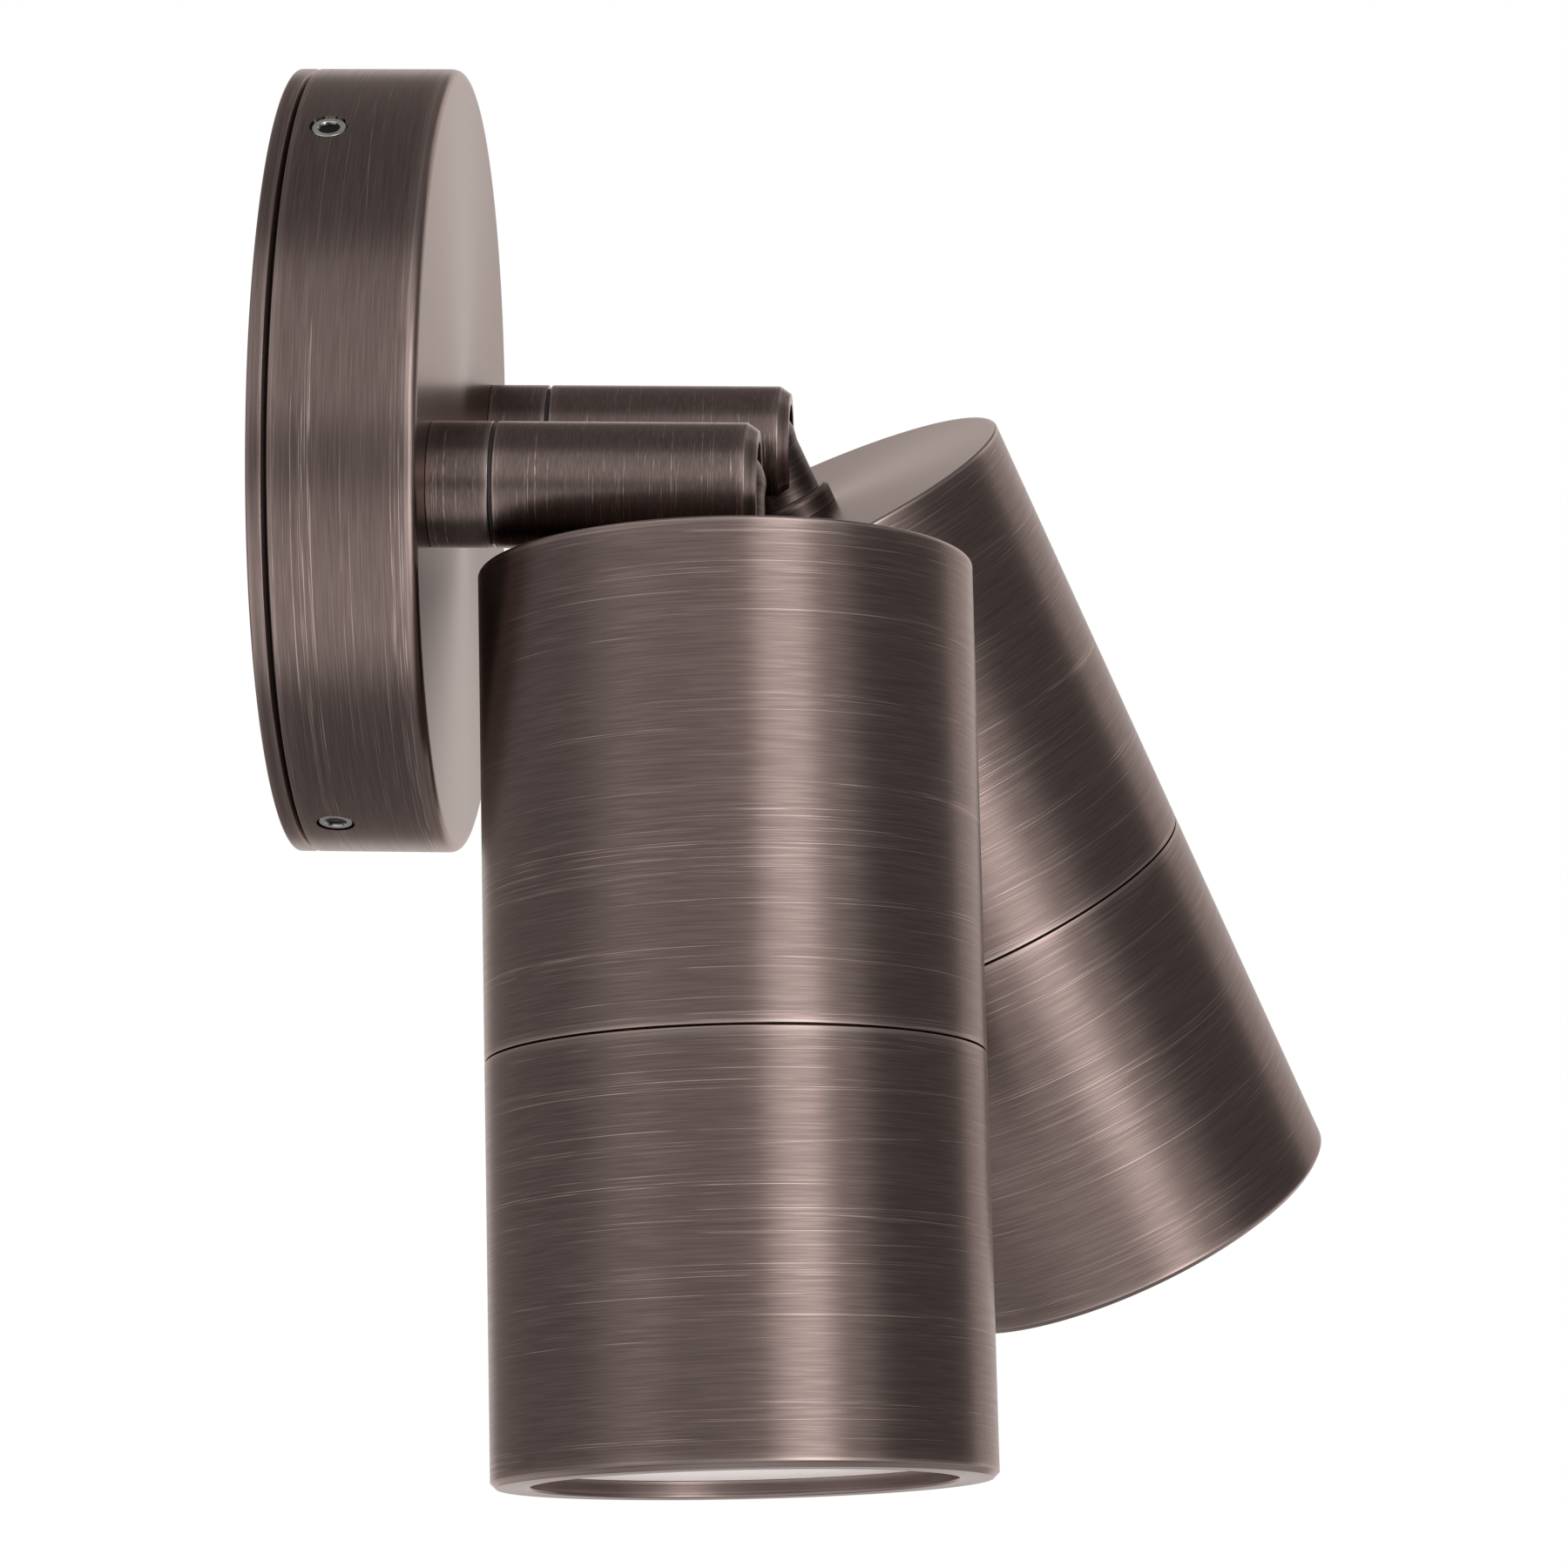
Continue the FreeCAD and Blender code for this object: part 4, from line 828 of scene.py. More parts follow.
def grub_screw_group():
    """Socket grub screws that stand round a rim, about Z, and look outwards."""
    group, given = node_group("Grub screws round a rim", {
        "Count": 3, "First Turn": 0.0, "Rim Radius": 50 * MM, "Out": 7 * MM, "Radius": 2.35 * MM,
        "Length": 4 * MM, "Socket": 2.5 * MM, "Socket Depth": 2 * MM, "Chamfer": 0.3 * MM, "Material": None})
    # The body stands on Z with its outer end at the origin. Its middle ring moves up to the chamfer,
    # and its top ring moves in.
    body = put(group, "GeometryNodeMeshCylinder",
               {"Radius": given["Radius"], "Depth": given["Length"], "Vertices": 48, "Side Segments": 2})
    position = put(group, "GeometryNodeInputPosition")
    parts = put(group, "ShaderNodeSeparateXYZ", {0: position})
    height = put(group, "ShaderNodeMath", {0: parts.outputs["Z"]}, operation="ABSOLUTE")
    is_middle = put(group, "FunctionNodeCompare",
                    {0: height, 1: 0.1 * MM}, data_type="FLOAT", operation="LESS_THAN")
    half = put(group, "ShaderNodeMath", {0: given["Length"], 1: 0.5}, operation="MULTIPLY")
    chamfer_foot = put(group, "ShaderNodeMath", {0: half, 1: given["Chamfer"]}, operation="SUBTRACT")
    both = put(group, "ShaderNodeMath", {0: half, 1: chamfer_foot}, operation="ADD")
    between = put(group, "ShaderNodeMath", {0: both, 1: 0.5}, operation="MULTIPLY")
    is_top = put(group, "FunctionNodeCompare",
                 {0: parts.outputs["Z"], 1: between}, data_type="FLOAT", operation="GREATER_THAN")
    lift = put(group, "ShaderNodeCombineXYZ", {"Z": chamfer_foot})
    lifted = put(group, "GeometryNodeSetPosition", {"Geometry": body, "Selection": is_middle, "Offset": lift})
    top_radius = put(group, "ShaderNodeMath", {0: given["Radius"], 1: given["Chamfer"]}, operation="SUBTRACT")
    narrowing = put(group, "ShaderNodeMath", {0: top_radius, 1: given["Radius"]}, operation="DIVIDE")
    squeeze = put(group, "ShaderNodeCombineXYZ", {"X": narrowing, "Y": narrowing, "Z": 1.0})
    squeezed = put(group, "ShaderNodeVectorMath", {0: position, 1: squeeze}, operation="MULTIPLY")
    chamfered = put(group, "GeometryNodeSetPosition",
                    {"Geometry": lifted, "Selection": is_top, "Position": squeezed})
    sink = put(group, "ShaderNodeMath", {0: half, 1: -1.0}, operation="MULTIPLY")
    sunk = put(group, "ShaderNodeCombineXYZ", {"Z": sink})
    shaped = put(group, "GeometryNodeTransform", {"Geometry": chamfered, "Translation": sunk})
    # The hexagon socket and the small cone that leads the key into it
    corner = put(group, "ShaderNodeMath", {0: given["Socket"], 1: math.sqrt(3.0)}, operation="DIVIDE")
    deep = put(group, "ShaderNodeMath", {0: given["Socket Depth"], 1: 2.0}, operation="MULTIPLY")
    key = put(group, "GeometryNodeMeshCylinder", {"Radius": corner, "Depth": deep, "Vertices": 6})
    lead_top = put(group, "ShaderNodeMath", {0: corner, 1: given["Chamfer"]}, operation="ADD")
    lead_foot = put(group, "ShaderNodeMath", {0: corner, 1: given["Chamfer"]}, operation="SUBTRACT")
    lead_depth = put(group, "ShaderNodeMath", {0: given["Chamfer"], 1: 2.0}, operation="MULTIPLY")
    lead = put(group, "GeometryNodeMeshCone",
               {"Radius Top": lead_top, "Radius Bottom": lead_foot, "Depth": lead_depth, "Vertices": 48})
    lead_drop = put(group, "ShaderNodeMath", {0: given["Chamfer"], 1: -1.0}, operation="MULTIPLY")
    lead_low = put(group, "ShaderNodeCombineXYZ", {"Z": lead_drop})
    lead_in = put(group, "GeometryNodeTransform", {"Geometry": lead, "Translation": lead_low})
    screw = put(group, "GeometryNodeMeshBoolean", {0: shaped}, operation="DIFFERENCE")
    group.links.new(key.outputs[0], screw.inputs[1])
    group.links.new(lead_in.outputs[0], screw.inputs[1])
    lying = put(group, "GeometryNodeTransform", {"Geometry": screw, "Rotation": (0.0, math.pi / 2, 0.0)})
    # One point for each screw round the rim
    points = put(group, "GeometryNodePoints", {"Count": given["Count"]})
    index = put(group, "GeometryNodeInputIndex")
    turn = put(group, "ShaderNodeMath", {0: 2 * math.pi, 1: given["Count"]}, operation="DIVIDE")
    angle = put(group, "ShaderNodeMath",
                {0: index, 1: turn, 2: given["First Turn"]}, operation="MULTIPLY_ADD")
    around = put(group, "ShaderNodeCombineXYZ", {"Z": angle})
    reach = put(group, "ShaderNodeCombineXYZ", {"X": given["Rim Radius"], "Z": given["Out"]})
    spot = put(group, "ShaderNodeVectorRotate", {"Vector": reach, "Angle": angle}, rotation_type="Z_AXIS")
    placed_points = put(group, "GeometryNodeSetPosition", {"Geometry": points, "Position": spot})
    screws = put(group, "GeometryNodeInstanceOnPoints",
                 {"Points": placed_points, "Instance": lying, "Rotation": around})
    real = put(group, "GeometryNodeRealizeInstances", {"Geometry": screws})
    painted = put(group, "GeometryNodeSetMaterial", {"Geometry": real, "Material": given["Material"]})
    put(group, "NodeGroupOutput", {0: painted})
    return group


def lenslet_group():
    """The clear optic of a lamp: a disc about Z with a honeycomb of lenslets on its front."""
    group, given = node_group("Optic with lenslets", {
        "Radius": 23.4 * MM, "Thickness": 1.6 * MM, "Pitch": 4.2 * MM, "Lenslet Radius": 1.95 * MM,
        "Lenslet Height": 0.8 * MM, "Rows": 15, "Material": None})
    disc = put(group, "GeometryNodeMeshCylinder",
               {"Radius": given["Radius"], "Depth": given["Thickness"], "Vertices": 96, "Fill Segments": 3})
    half = put(group, "ShaderNodeMath", {0: given["Thickness"], 1: 0.5}, operation="MULTIPLY")
    lift = put(group, "ShaderNodeCombineXYZ", {"Z": half})
    disc_up = put(group, "GeometryNodeTransform", {"Geometry": disc, "Translation": lift})
    # Rows of a honeycomb: each second row is shifted by half a pitch.
    row_pitch = put(group, "ShaderNodeMath", {0: given["Pitch"], 1: math.sqrt(3.0) / 2}, operation="MULTIPLY")
    last = put(group, "ShaderNodeMath", {0: given["Rows"], 1: 1.0}, operation="SUBTRACT")
    size_x = put(group, "ShaderNodeMath", {0: last, 1: given["Pitch"]}, operation="MULTIPLY")
    size_y = put(group, "ShaderNodeMath", {0: last, 1: row_pitch}, operation="MULTIPLY")
    grid = put(group, "GeometryNodeMeshGrid",
               {"Size X": size_x, "Size Y": size_y, "Vertices X": given["Rows"], "Vertices Y": given["Rows"]})
    position = put(group, "GeometryNodeInputPosition")
    parts = put(group, "ShaderNodeSeparateXYZ", {0: position})
    row = put(group, "ShaderNodeMath", {0: parts.outputs["Y"], 1: row_pitch}, operation="DIVIDE")
    row_number = put(group, "ShaderNodeMath", {0: row}, operation="ROUND")
    odd = put(group, "ShaderNodeMath", {0: row_number, 1: 1.0}, operation="PINGPONG")
    shift = put(group, "ShaderNodeMath", {0: odd, 1: given["Pitch"]}, operation="MULTIPLY")
    shift_half = put(group, "ShaderNodeMath", {0: shift, 1: 0.5}, operation="MULTIPLY")
    offset = put(group, "ShaderNodeCombineXYZ", {"X": shift_half})
    comb = put(group, "GeometryNodeSetPosition", {"Geometry": grid, "Offset": offset})
    far = put(group, "ShaderNodeVectorMath", {0: position}, operation="LENGTH")
    fits = put(group, "ShaderNodeMath",
               {0: far.outputs["Value"], 1: given["Lenslet Radius"]}, operation="ADD")
    outside = put(group, "FunctionNodeCompare",
                  {0: fits, 1: given["Radius"]}, data_type="FLOAT", operation="GREATER_THAN")
    kept = put(group, "GeometryNodeDeleteGeometry", {"Geometry": comb, "Selection": outside}, domain="POINT")
    # A lenslet is a low dome: the upper half of a small sphere, flattened.
    ball = put(group, "GeometryNodeMeshUVSphere",
               {"Radius": given["Lenslet Radius"], "Segments": 16, "Rings": 8})
    flat = put(group, "ShaderNodeMath",
               {0: given["Lenslet Height"], 1: given["Lenslet Radius"]}, operation="DIVIDE")
    scale = put(group, "ShaderNodeCombineXYZ", {"X": 1.0, "Y": 1.0, "Z": flat})
    below = put(group, "FunctionNodeCompare",
                {0: parts.outputs["Z"], 1: -0.01 * MM}, data_type="FLOAT", operation="LESS_THAN")
    dome = put(group, "GeometryNodeDeleteGeometry", {"Geometry": ball, "Selection": below}, domain="POINT")
    low = put(group, "GeometryNodeTransform", {"Geometry": dome, "Scale": scale})
    domes = put(group, "GeometryNodeInstanceOnPoints", {"Points": kept, "Instance": low})
    top = put(group, "ShaderNodeCombineXYZ", {"Z": given["Thickness"]})
    raised = put(group, "GeometryNodeTransform", {"Geometry": domes, "Translation": top})
    joined = put(group, "GeometryNodeJoinGeometry")
    group.links.new(raised.outputs[0], joined.inputs[0])
    group.links.new(disc_up.outputs[0], joined.inputs[0])
    real = put(group, "GeometryNodeRealizeInstances", {"Geometry": joined})
    painted = put(group, "GeometryNodeSetMaterial", {"Geometry": real, "Material": given["Material"]})
    put(group, "NodeGroupOutput", {0: painted})
    return group


# Operators, one for each piece or group of like pieces


class SPOTLIGHT_OT_base(bpy.types.Operator):
    """Build the mounting plate and the canopy"""
    bl_idname = "spotlight.base"
    bl_label = "Base"

    def execute(self, context):
        sizes = context.scene.spotlight_base
        grub = context.scene.spotlight_grub_screws
        bronze = brushed_bronze(context.scene.spotlight_bronze)
        plate = [
            (0.0, sizes.gasket_thickness),
            (sizes.gasket_seat, sizes.gasket_thickness),
            (sizes.gasket_seat, 0.0),
            (sizes.radius, 0.0, 0.3 * MM),
            (sizes.radius, sizes.plate_rim - sizes.plate_chamfer),
            (sizes.radius - sizes.plate_chamfer_width, sizes.plate_rim),
            (sizes.ring_radius, sizes.plate_rim),
            (sizes.ring_radius, sizes.ring_height),
            (sizes.ring_radius - sizes.ring_wall, sizes.ring_height),
            (sizes.ring_radius - sizes.ring_wall, sizes.plate_floor),
            (0.0, sizes.plate_floor),
        ]
        through = (-OVERRUN, sizes.plate_floor + OVERRUN)
        holes = [prism_mesh("wall hole", circle(sizes.wall_hole, 48, 0.0, up), *through)
                 for up in (-sizes.wall_hole_spacing / 2, sizes.wall_hole_spacing / 2)]
        holes.append(prism_mesh("cable hole", circle(sizes.cable_hole, 64, 0.0, -sizes.cable_drop), *through))
        turned_piece("plate_finished", plate, BASE_PLACE, "base", ["mounting_plate"],
                     bronze, holes, segments=224, wear_share=0.45)
        inner = sizes.radius - sizes.canopy_wall
        canopy = [
            (inner, sizes.canopy_back),
            (sizes.radius, sizes.canopy_back),
            (sizes.radius, sizes.depth, sizes.edge_round),
            (0.0, sizes.depth),
            (0.0, sizes.depth - sizes.face_thickness),
            (inner, sizes.depth - sizes.face_thickness),
        ]
        through = (sizes.depth - sizes.face_thickness - OVERRUN, sizes.depth + OVERRUN)
        holes = []
        for side in SIDES:
            across = JOINTS[side + "_swivel"]["pos_m"][0]
            holes.append(prism_mesh("socket hole", circle(sizes.socket_hole, 64, across), *through))
        for index in range(grub.count):
            turn = grub.first_turn + 2 * math.pi * index / grub.count
            lie = Matrix.Translation((0, 0, grub.out)) @ Matrix.Rotation(turn, 4, "Z")
            lie = lie @ Matrix.Rotation(math.pi / 2, 4, "Y")
            round_hole = circle(grub.radius + grub.hole_clearance, 48)
            holes.append(prism_mesh("grub hole", round_hole, inner - OVERRUN, sizes.radius + OVERRUN, lie))
        turned_piece("canopy_finished", canopy, BASE_PLACE, "base", ["canopy"],
                     bronze, holes, segments=224, wear_share=0.7)
        return {"FINISHED"}


class SPOTLIGHT_OT_grub_screws(bpy.types.Operator):
    """Stand the grub screws round the canopy's rim"""
    bl_idname = "spotlight.grub_screws"
    bl_label = "Grub screws"

    def execute(self, context):
        base = context.scene.spotlight_base
        sizes = context.scene.spotlight_grub_screws
        steel = plain_finish("stainless_steel")
        tip = base.radius - sizes.recess - base.ring_radius - sizes.hole_clearance
        screws = grown("grub_screws_finished", grub_screw_group(), {
            "Count": sizes.count, "First Turn": sizes.first_turn, "Rim Radius": base.radius - sizes.recess,
            "Out": sizes.out, "Radius": sizes.radius, "Length": tip, "Socket": sizes.socket,
            "Socket Depth": sizes.socket_depth, "Chamfer": sizes.chamfer, "Material": steel})
        self.mark_sockets(screws.data, base.radius - sizes.recess, sizes)
        finish_piece(screws, BASE_PLACE, "base", ["grub_screws"], steel)
        return {"FINISHED"}

    def mark_sockets(self, mesh, end_radius, sizes):
        """Write the "sunk" values: 0 on a screw's end, 1 from a third of a millimetre down in its socket."""
        points = points_of(mesh)
        turns = sizes.first_turn + 2 * math.pi * np.arange(sizes.count) / sizes.count
        outward = np.column_stack((np.cos(turns), np.sin(turns)))
        depth = (end_radius - points[:, :2] @ outward.T).min(axis=1)
        aside = np.abs(points[:, :2] @ np.column_stack((-outward[:, 1], outward[:, 0])).T).min(axis=1)
        inside = np.hypot(aside, points[:, 2] - sizes.out) < sizes.socket / math.sqrt(3.0) + 0.05 * MM
        # These values paint the shade in the sockets: the screws' finish turns near black where they are 1.
        write_values(mesh, "sunk", np.where(inside, np.clip(depth / (0.3 * MM), 0.0, 1.0), 0.0))


class SPOTLIGHT_OT_swivel_sockets(bpy.types.Operator):
    """Build the two short stubs that the arms turn on"""
    bl_idname = "spotlight.swivel_sockets"
    bl_label = "Swivel sockets"

    def execute(self, context):
        sizes = context.scene.spotlight_arm
        base = context.scene.spotlight_base
        # Painted shade: the stubs' bronze is drawn a fifth darker, for the shade between the canopy and the
        # arms.
        bronze = brushed_bronze(context.scene.spotlight_bronze, "Brushed bronze sockets with painted shade", depth=0.8,
                                closeness=SLIM_CLOSENESS, hair_long=SLIM_HAIR)
        # The spigot ends just short of the face's inner side, so that the lock washer draws the stub tight.
        spigot_end = base.depth - base.face_thickness + 0.3 * MM
        socket = [
            (sizes.socket_bore, spigot_end),
            (sizes.socket_spigot, spigot_end),
            (sizes.socket_spigot, base.depth),
            (sizes.radius, base.depth),
            (sizes.radius, sizes.socket_front),
            (sizes.socket_bore, sizes.socket_front),
        ]
        for side in SIDES:
            turned_piece(side + "_socket_finished", socket, arm_place(side), "base",
                         [side + "_swivel_socket"], bronze, segments=96,
                         closeness=SLIM_CLOSENESS)
        return {"FINISHED"}


class SPOTLIGHT_OT_arms(bpy.types.Operator):
    """Build the two arms, each with its bore, its slot for the knuckle and the pivot screw's hole"""
    bl_idname = "spotlight.arms"
    bl_label = "Arms"

    def execute(self, context):
        sizes = context.scene.spotlight_arm
        bronze = brushed_bronze(context.scene.spotlight_bronze, "Brushed bronze arms",
                                closeness=SLIM_CLOSENESS, hair_long=SLIM_HAIR)
        arm = [
            (sizes.socket_bore, sizes.back),
            (sizes.radius, sizes.back, 0.25 * MM),
            (sizes.radius, sizes.front - sizes.chamfer),
            (sizes.radius - sizes.chamfer_width, sizes.front),
            (sizes.bore, sizes.front),
            (sizes.bore, sizes.shoulder),
            (sizes.socket_bore, sizes.shoulder),
        ]
        for side in SIDES:
            pivot = -JOINTS[side + "_tilt"]["pos_m"][1]
            half = sizes.slot_half_width
            front = sizes.front + OVERRUN
            # The slot's round bottom, and then its sides out past the arm's open end
            bend = [(half * math.cos(turn), -(pivot - half * math.sin(turn)))
                    for turn in (math.pi * step / 32 for step in range(33))]
            outline = bend + [(-half, -front), (half, -front)]
            standing = Matrix.Rotation(math.pi / 2, 4, "X")
            slot = prism_mesh("slot", outline, -sizes.radius - OVERRUN, 0.0, standing)
            lie = Matrix.Translation((0, 0, pivot)) @ Matrix.Rotation(math.pi / 2, 4, "Y")
            shank = prism_mesh("screw hole", circle(sizes.screw_radius, 32), -sizes.screw_head_top,
                               sizes.screw_head_top, lie)
            # The countersink slopes at 45 degrees and ends a little below the head's flat top.
            seat_high = sizes.screw_head_top - 0.2 * MM
            seat_low = seat_high - (sizes.screw_head_radius - sizes.screw_radius)
            outside = sizes.radius + OVERRUN
            seat = turned_mesh("screw seat", [
                (0.0, seat_low, 0.0),
                (sizes.screw_radius, seat_low, 0.0),
                (sizes.screw_head_radius, seat_high, 0.0),
                (sizes.screw_head_radius, outside, 0.0),
                (0.0, outside, 0.0),
            ], 48)
            seat.transform(lie)
            turned_piece(side + "_arm_finished", arm, arm_place(side), side + "_arm", [side + "_arm"],
                         bronze, [slot, shank, seat], closeness=SLIM_CLOSENESS)
        return {"FINISHED"}


class SPOTLIGHT_OT_knuckles(bpy.types.Operator):
    """Build the hollow stems with their round ends, on which the heads tilt"""
    bl_idname = "spotlight.knuckles"
    bl_label = "Knuckles"

    def execute(self, context):
        sizes = context.scene.spotlight_knuckle
        arm = context.scene.spotlight_arm
        head = context.scene.spotlight_head
        # Painted shade: the knuckles' bronze is drawn at half its brightness, for the shade between the arms
        # and the heads.
        bronze = brushed_bronze(context.scene.spotlight_bronze, "Bronze knuckles with painted shade", depth=0.5,
                                rougher=0.08)
        # A quarter round from the top to the side, in steps of 7.5 degrees, and then the stem
        stem = [(0.0, -sizes.end_radius)]
        for step in range(1, 13):
            turn = math.radians(7.5 * step)
            stem.append((sizes.end_radius * math.sin(turn), -sizes.end_radius * math.cos(turn)))
        stem += [
            (sizes.stem_radius, sizes.taper_end),
            (sizes.stem_radius, sizes.foot_start),
            (sizes.foot_radius - sizes.foot_chamfer, sizes.foot_start),
            (sizes.foot_radius, sizes.foot_start + sizes.foot_chamfer),
            (sizes.foot_radius, head.top),
            (sizes.stem_radius, head.top),
            (sizes.stem_radius, sizes.end),
            (sizes.bore, sizes.end),
            (sizes.bore, 0.0),
            (0.0, 0.0),
        ]
        half = sizes.lead_way / 2
        back = -sizes.end_radius - OVERRUN
        way = [(-half, back), (half, back), (half, 0.0), (-half, 0.0)]
        across = Matrix.Rotation(math.pi / 2, 4, "Y")
        for side in SIDES:
            cutters = [prism_mesh("lead way", way, back, 0.0),
                       prism_mesh("pivot hole", circle(arm.screw_radius, 32), back, -back, across)]
            turned_piece(side + "_knuckle_finished", stem, head_place(side), side + "_head",
                         [side + "_knuckle_stem"], bronze, cutters, small=0.1 * MM,
                         segments=96, edge=0.08 * MM)
        return {"FINISHED"}


class SPOTLIGHT_OT_head_tubes(bpy.types.Operator):
    """Build both halves of each lamp head: the closed body and the sleeve that screws on to it"""
    bl_idname = "spotlight.head_tubes"
    bl_label = "Head tubes"

    def execute(self, context):
        sizes = context.scene.spotlight_head
        glass = context.scene.spotlight_glass
        bronze = brushed_bronze(context.scene.spotlight_bronze)
        body = [
            (sizes.stem_seat, sizes.top),
            (sizes.radius, sizes.top, sizes.edge_round),
            (sizes.radius, sizes.seam, sizes.seam_chamfer),
            (sizes.thread_radius, sizes.seam),
            (sizes.thread_radius, sizes.seam + sizes.thread_length),
            (sizes.bore, sizes.seam + sizes.thread_length),
            (sizes.bore, sizes.top + sizes.cap_thickness),
            (sizes.stem_hole, sizes.top + sizes.cap_thickness),
            (sizes.stem_hole, sizes.top + sizes.stem_seat_depth),
            (sizes.stem_seat, sizes.top + sizes.stem_seat_depth),
        ]
        # The sleeve's thread has a little play round the body's and goes on a little further.
        thread = sizes.thread_radius + 0.05 * MM
        sleeve_top = sizes.seam + sizes.seam_gap
        thread_end = sizes.seam + sizes.thread_length + 1.5 * MM
        sleeve = [
            (thread, sleeve_top),
            (sizes.radius, sleeve_top, sizes.seam_chamfer),
            (sizes.radius, sizes.bottom - sizes.rim_chamfer),
            (sizes.radius - sizes.rim_chamfer, sizes.bottom),
            (sizes.rim_opening, sizes.bottom, 0.3 * MM),
            (sizes.rim_opening, glass.front),
            (sizes.bore, glass.front),
            (sizes.bore, thread_end),
            (thread, thread_end),
        ]
        for side in SIDES:
            for name, outline, node in (("_body_finished", body, "_rear_body"),
                                        ("_sleeve_finished", sleeve, "_front_sleeve")):
                turned_piece(side + name, outline, head_place(side), side + "_head", [side + node],
                             bronze, small=0.12 * MM, segments=192)
        return {"FINISHED"}


class SPOTLIGHT_OT_glass_and_optics(bpy.types.Operator):
    """Build the front glasses and the lamps' clear optics with their lenslets"""
    bl_idname = "spotlight.glass_and_optics"
    bl_label = "Glass and optics"

    def execute(self, context):
        sizes = context.scene.spotlight_glass
        glass, acrylic = clear_finish("lens_glass"), clear_finish("lamp_optic")
        back = sizes.front - sizes.thickness
        pane = [
            (0.0, back),
            (sizes.radius, back, 0.3 * MM),
            (sizes.radius, sizes.front, 0.3 * MM),
            (0.0, sizes.front),
        ]
        group = lenslet_group()
        for side in SIDES:
            turned_piece(side + "_glass_finished", pane, head_place(side), side + "_head", [side + "_lens"],
                         glass, small=0.1 * MM)
            optic = grown(side + "_optic_finished", group, {
                "Radius": sizes.optic_radius, "Thickness": sizes.optic_thickness - sizes.lenslet_height,
                "Pitch": sizes.lenslet_pitch, "Lenslet Radius": sizes.lenslet_radius,
                "Lenslet Height": sizes.lenslet_height, "Rows": sizes.lenslet_rows, "Material": acrylic})
            optic.data.transform(Matrix.Translation((0, 0, sizes.optic_back)))
            finish_piece(optic, head_place(side), side + "_head", [side + "_lamp_optic"],
                         acrylic)
        return {"FINISHED"}


class SPOTLIGHT_OT_kept_pieces(bpy.types.Operator):
    """Give every piece that the CAD frame keeps its finish"""
    bl_idname = "spotlight.kept_pieces"
    bl_label = "Kept pieces"

    def execute(self, context):
        slots = {part["node"]: part["material_slot"] for part in frame["record"]["subparts"]}
        finishes = {key: plain_finish(key) for key in PLAIN_FINISHES}
        finishes.update((key, clear_finish(key)) for key in CLEAR_FINISHES)
        for name, obj in frame["nodes"].items():
            if slots[name] not in finishes:
                raise RuntimeError("no finish is written for the slot " + slots[name])
            for holder in obj.material_slots:
                holder.material = finishes[slots[name]]
        return {"FINISHED"}


# For each card: its place from the light's middle, the way it faces, its width, height and strength, and the
# share of it over which its edges fade away
CARDS = {
    "card_above": ((0.95, 0.0, 0.95), (0, 0, -1), 3.0, 1.6, 0.35, 0.1),
    "card_below": ((0.39, 0.0, -0.95), (0, 0, 1), 2.22, 1.6, 0.38, 0.15),
    "card_in_front": ((0.14, -0.95, 0.3), (0, 1, 0), 1.33, 2.9, 0.28, 0.12),
    "card_at_the_wall": ((0.5, 0.95, 0.0), (0, -1, 0), 2.7, 2.2, 0.48, 0.25),
    "card_at_eye_level": ((-1.0, 0.05, 0.15), (1, 0, 0), 1.3, 0.42, 0.4, 0.2),
    "card_low": ((-0.8, -0.1, -0.56), (0.8, 0.1, 0.56), 1.2, 0.8, 1.4, 0.25),
}


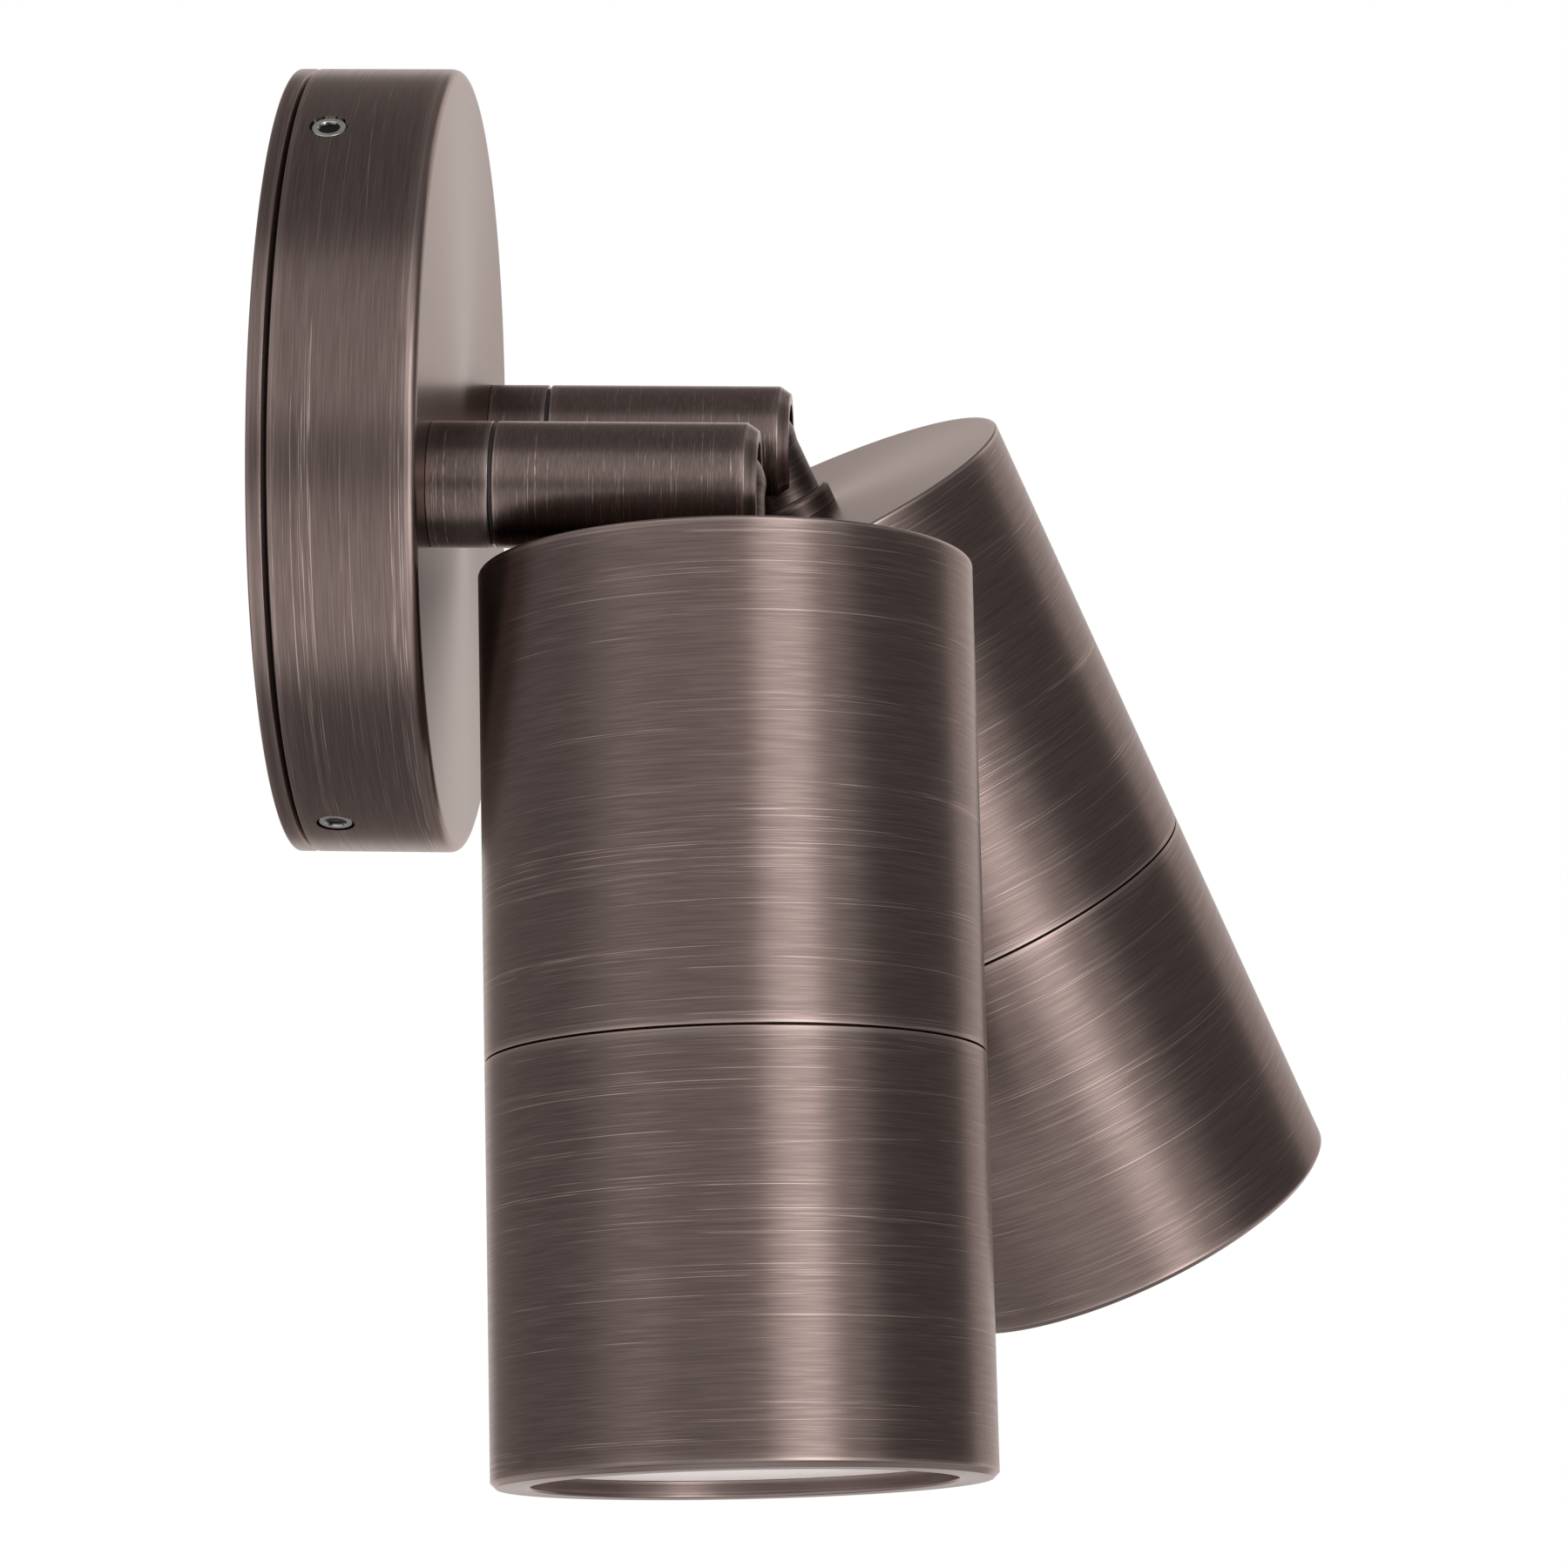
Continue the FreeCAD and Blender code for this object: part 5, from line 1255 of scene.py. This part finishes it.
class SPOTLIGHT_OT_studio(bpy.types.Operator):
    """Set up the floor, the lamp, the cards that the metal mirrors, the world and the camera"""
    bl_idname = "spotlight.studio"
    bl_label = "Studio"

    def execute(self, context):
        setup = context.scene.spotlight_studio
        low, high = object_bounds()
        middle = (low + high) / 2
        self.floor(setup, middle)
        self.cards(middle)
        self.lamp(setup, middle)
        self.world(context.scene)
        self.camera(context.scene, setup)
        context.scene.view_settings.view_transform = "Standard"
        return {"FINISHED"}

    def floor(self, setup, middle):
        """A wide pale floor that mostly shows as the white backdrop but keeps the light's shadow.

        The backdrop makes up 85 % of what is seen of it and is a touch brighter than the world.
        """
        corners = circle(setup.floor_radius, 96, middle.x, middle.y)
        mesh = bpy.data.meshes.new("floor")
        mesh.from_pydata([(x, y, -setup.floor_drop) for x, y in corners], [], [list(range(len(corners)))])
        floor = linked("floor", mesh)
        material, tree = new_material("Pale floor")
        ray = put(tree, "ShaderNodeLightPath").outputs
        mirrored = put(tree, "ShaderNodeMath", {0: ray["Is Glossy Ray"], 1: ray["Is Transmission Ray"]},
                       operation="MAXIMUM")
        seen = put(tree, "ShaderNodeMath", {0: ray["Is Camera Ray"], 1: mirrored}, operation="MAXIMUM")
        share = put(tree, "ShaderNodeMath", {0: seen, 1: 0.85}, operation="MULTIPLY")
        paint = put(tree, "ShaderNodeBsdfDiffuse", {"Color": rgba(setup.floor_colour)})
        backdrop = put(tree, "ShaderNodeEmission", {"Strength": 1.03})
        mixed = put(tree, "ShaderNodeMixShader", {0: share, 1: paint, 2: backdrop})
        put(tree, "ShaderNodeOutputMaterial", {"Surface": mixed})
        mesh.materials.append(material)
        floor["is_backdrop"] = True

    def cards(self, middle):
        """Cards that only reflections see: grey ones for the metal's dark bands, a white one for edges."""
        for name, (place, facing, width, height, strength, fade) in CARDS.items():
            turn = Vector(facing).to_track_quat("Z", "Y").to_matrix().to_4x4()
            mesh = bpy.data.meshes.new(name)
            corners = ((0, 0), (1, 0), (1, 1), (0, 1))
            places = [((x - 0.5) * width, (y - 0.5) * height, 0) for x, y in corners]
            mesh.from_pydata(places, [], [(0, 1, 2, 3)])
            layer = mesh.uv_layers.new(name="card")
            for index, corner in enumerate(corners):
                layer.data[index].uv = corner
            mesh.transform(Matrix.Translation(middle + Vector(place)) @ turn)
            mesh.materials.append(self.card_material(name, strength, fade))
            card = linked(name, mesh)
            card.visible_camera = False
            card.visible_shadow = False
            card.visible_diffuse = False
            card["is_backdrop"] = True

    def card_material(self, name, strength, fade):
        """An evenly lit card that fades away towards its edges."""
        material, tree = new_material("Lit card " + name)
        where = put(tree, "ShaderNodeUVMap", uv_map="card")
        parts = put(tree, "ShaderNodeSeparateXYZ", {0: where})
        shares = []
        for axis in ("X", "Y"):
            inside = put(tree, "ShaderNodeMath", {0: parts.outputs[axis], 1: 0.5}, operation="PINGPONG")
            shares.append(put(tree, "ShaderNodeMapRange",
                              {"Value": inside, "From Min": 0.0, "From Max": fade},
                              interpolation_type="SMOOTHSTEP"))
        mask = put(tree, "ShaderNodeMath", {0: shares[0], 1: shares[1]}, operation="MULTIPLY")
        clear = put(tree, "ShaderNodeBsdfTransparent")
        lit = put(tree, "ShaderNodeEmission", {"Strength": strength})
        mixed = put(tree, "ShaderNodeMixShader", {0: mask, 1: clear, 2: lit})
        put(tree, "ShaderNodeOutputMaterial", {"Surface": mixed})
        return material

    def lamp(self, setup, middle):
        """One tall soft lamp beside the camera."""
        direction = Vector((-math.cos(setup.key_turn), -math.sin(setup.key_turn), 0.0))
        light = bpy.data.lights.new("tall_softbox", "AREA")
        light.shape = "RECTANGLE"
        light.size = setup.key_width
        light.size_y = setup.key_height
        light.energy = setup.key_power
        lamp = bpy.data.objects.new("tall_softbox", light)
        lamp.location = middle + setup.key_distance * direction
        lamp.rotation_mode = "QUATERNION"
        lamp.rotation_quaternion = direction.to_track_quat("Z", "Y")
        lamp.visible_camera = False
        bpy.context.scene.collection.objects.link(lamp)

    def world(self, scene):
        """An even white world of strength 1, which camera, metal and glass all see."""
        world = bpy.data.worlds.new("White studio")
        world.use_nodes = True
        tree = world.node_tree
        tree.nodes.clear()
        backdrop = put(tree, "ShaderNodeBackground", {"Color": (1, 1, 1, 1), "Strength": 1.0})
        put(tree, "ShaderNodeOutputWorld", {"Surface": backdrop})
        scene.world = world

    def camera(self, scene, setup):
        """Level with the light and to its left, a little above it, as the photograph was taken."""
        lens = bpy.data.cameras.new("camera")
        lens.sensor_width = 36.0
        lens.lens = setup.focal_length
        lens.clip_start = 0.01
        camera = bpy.data.objects.new("camera", lens)
        right, up = Vector(CAMERA_RIGHT), Vector(CAMERA_UP)
        turn = Matrix((right, up, right.cross(up))).transposed().to_4x4()
        camera.matrix_world = Matrix.Translation(CAMERA_PLACE) @ turn
        scene.collection.objects.link(camera)
        scene.camera = camera


class SPOTLIGHT_PT_panel(bpy.types.Panel):
    """Lists the steps that build the spotlight, and its sizes"""
    bl_label = "Twin wall spotlight"
    bl_idname = "SPOTLIGHT_PT_panel"
    bl_space_type = "VIEW_3D"
    bl_region_type = "UI"
    bl_category = "Spotlight"

    def draw(self, context):
        for operator in OPERATORS:
            self.layout.operator(operator.bl_idname)
        for name, group in GROUPS.items():
            box = self.layout.box()
            box.label(text=group.__name__)
            settings = getattr(context.scene, name)
            for key in group.__annotations__:
                box.prop(settings, key)


GROUPS = {
    "spotlight_base": BaseSizes,
    "spotlight_grub_screws": GrubScrewSizes,
    "spotlight_arm": ArmSizes,
    "spotlight_knuckle": KnuckleSizes,
    "spotlight_head": HeadSizes,
    "spotlight_glass": GlassSizes,
    "spotlight_bronze": BronzeFinish,
    "spotlight_studio": StudioSetup,
}
OPERATORS = (
    SPOTLIGHT_OT_kept_pieces,
    SPOTLIGHT_OT_base,
    SPOTLIGHT_OT_grub_screws,
    SPOTLIGHT_OT_swivel_sockets,
    SPOTLIGHT_OT_arms,
    SPOTLIGHT_OT_knuckles,
    SPOTLIGHT_OT_head_tubes,
    SPOTLIGHT_OT_glass_and_optics,
    SPOTLIGHT_OT_studio,
)


def register():
    for group in GROUPS.values():
        bpy.utils.register_class(group)
    for name, group in GROUPS.items():
        setattr(bpy.types.Scene, name, PointerProperty(type=group))
    for operator in OPERATORS:
        bpy.utils.register_class(operator)
    bpy.utils.register_class(SPOTLIGHT_PT_panel)


def unregister():
    bpy.utils.unregister_class(SPOTLIGHT_PT_panel)
    for operator in reversed(OPERATORS):
        bpy.utils.unregister_class(operator)
    for name in GROUPS:
        delattr(bpy.types.Scene, name)
    for group in reversed(GROUPS.values()):
        bpy.utils.unregister_class(group)


def main():
    """Build the whole light."""
    register()
    for operator in OPERATORS:
        family, name = operator.bl_idname.split(".")
        getattr(getattr(bpy.ops, family), name)()


if __name__ == "__main__":
    main()
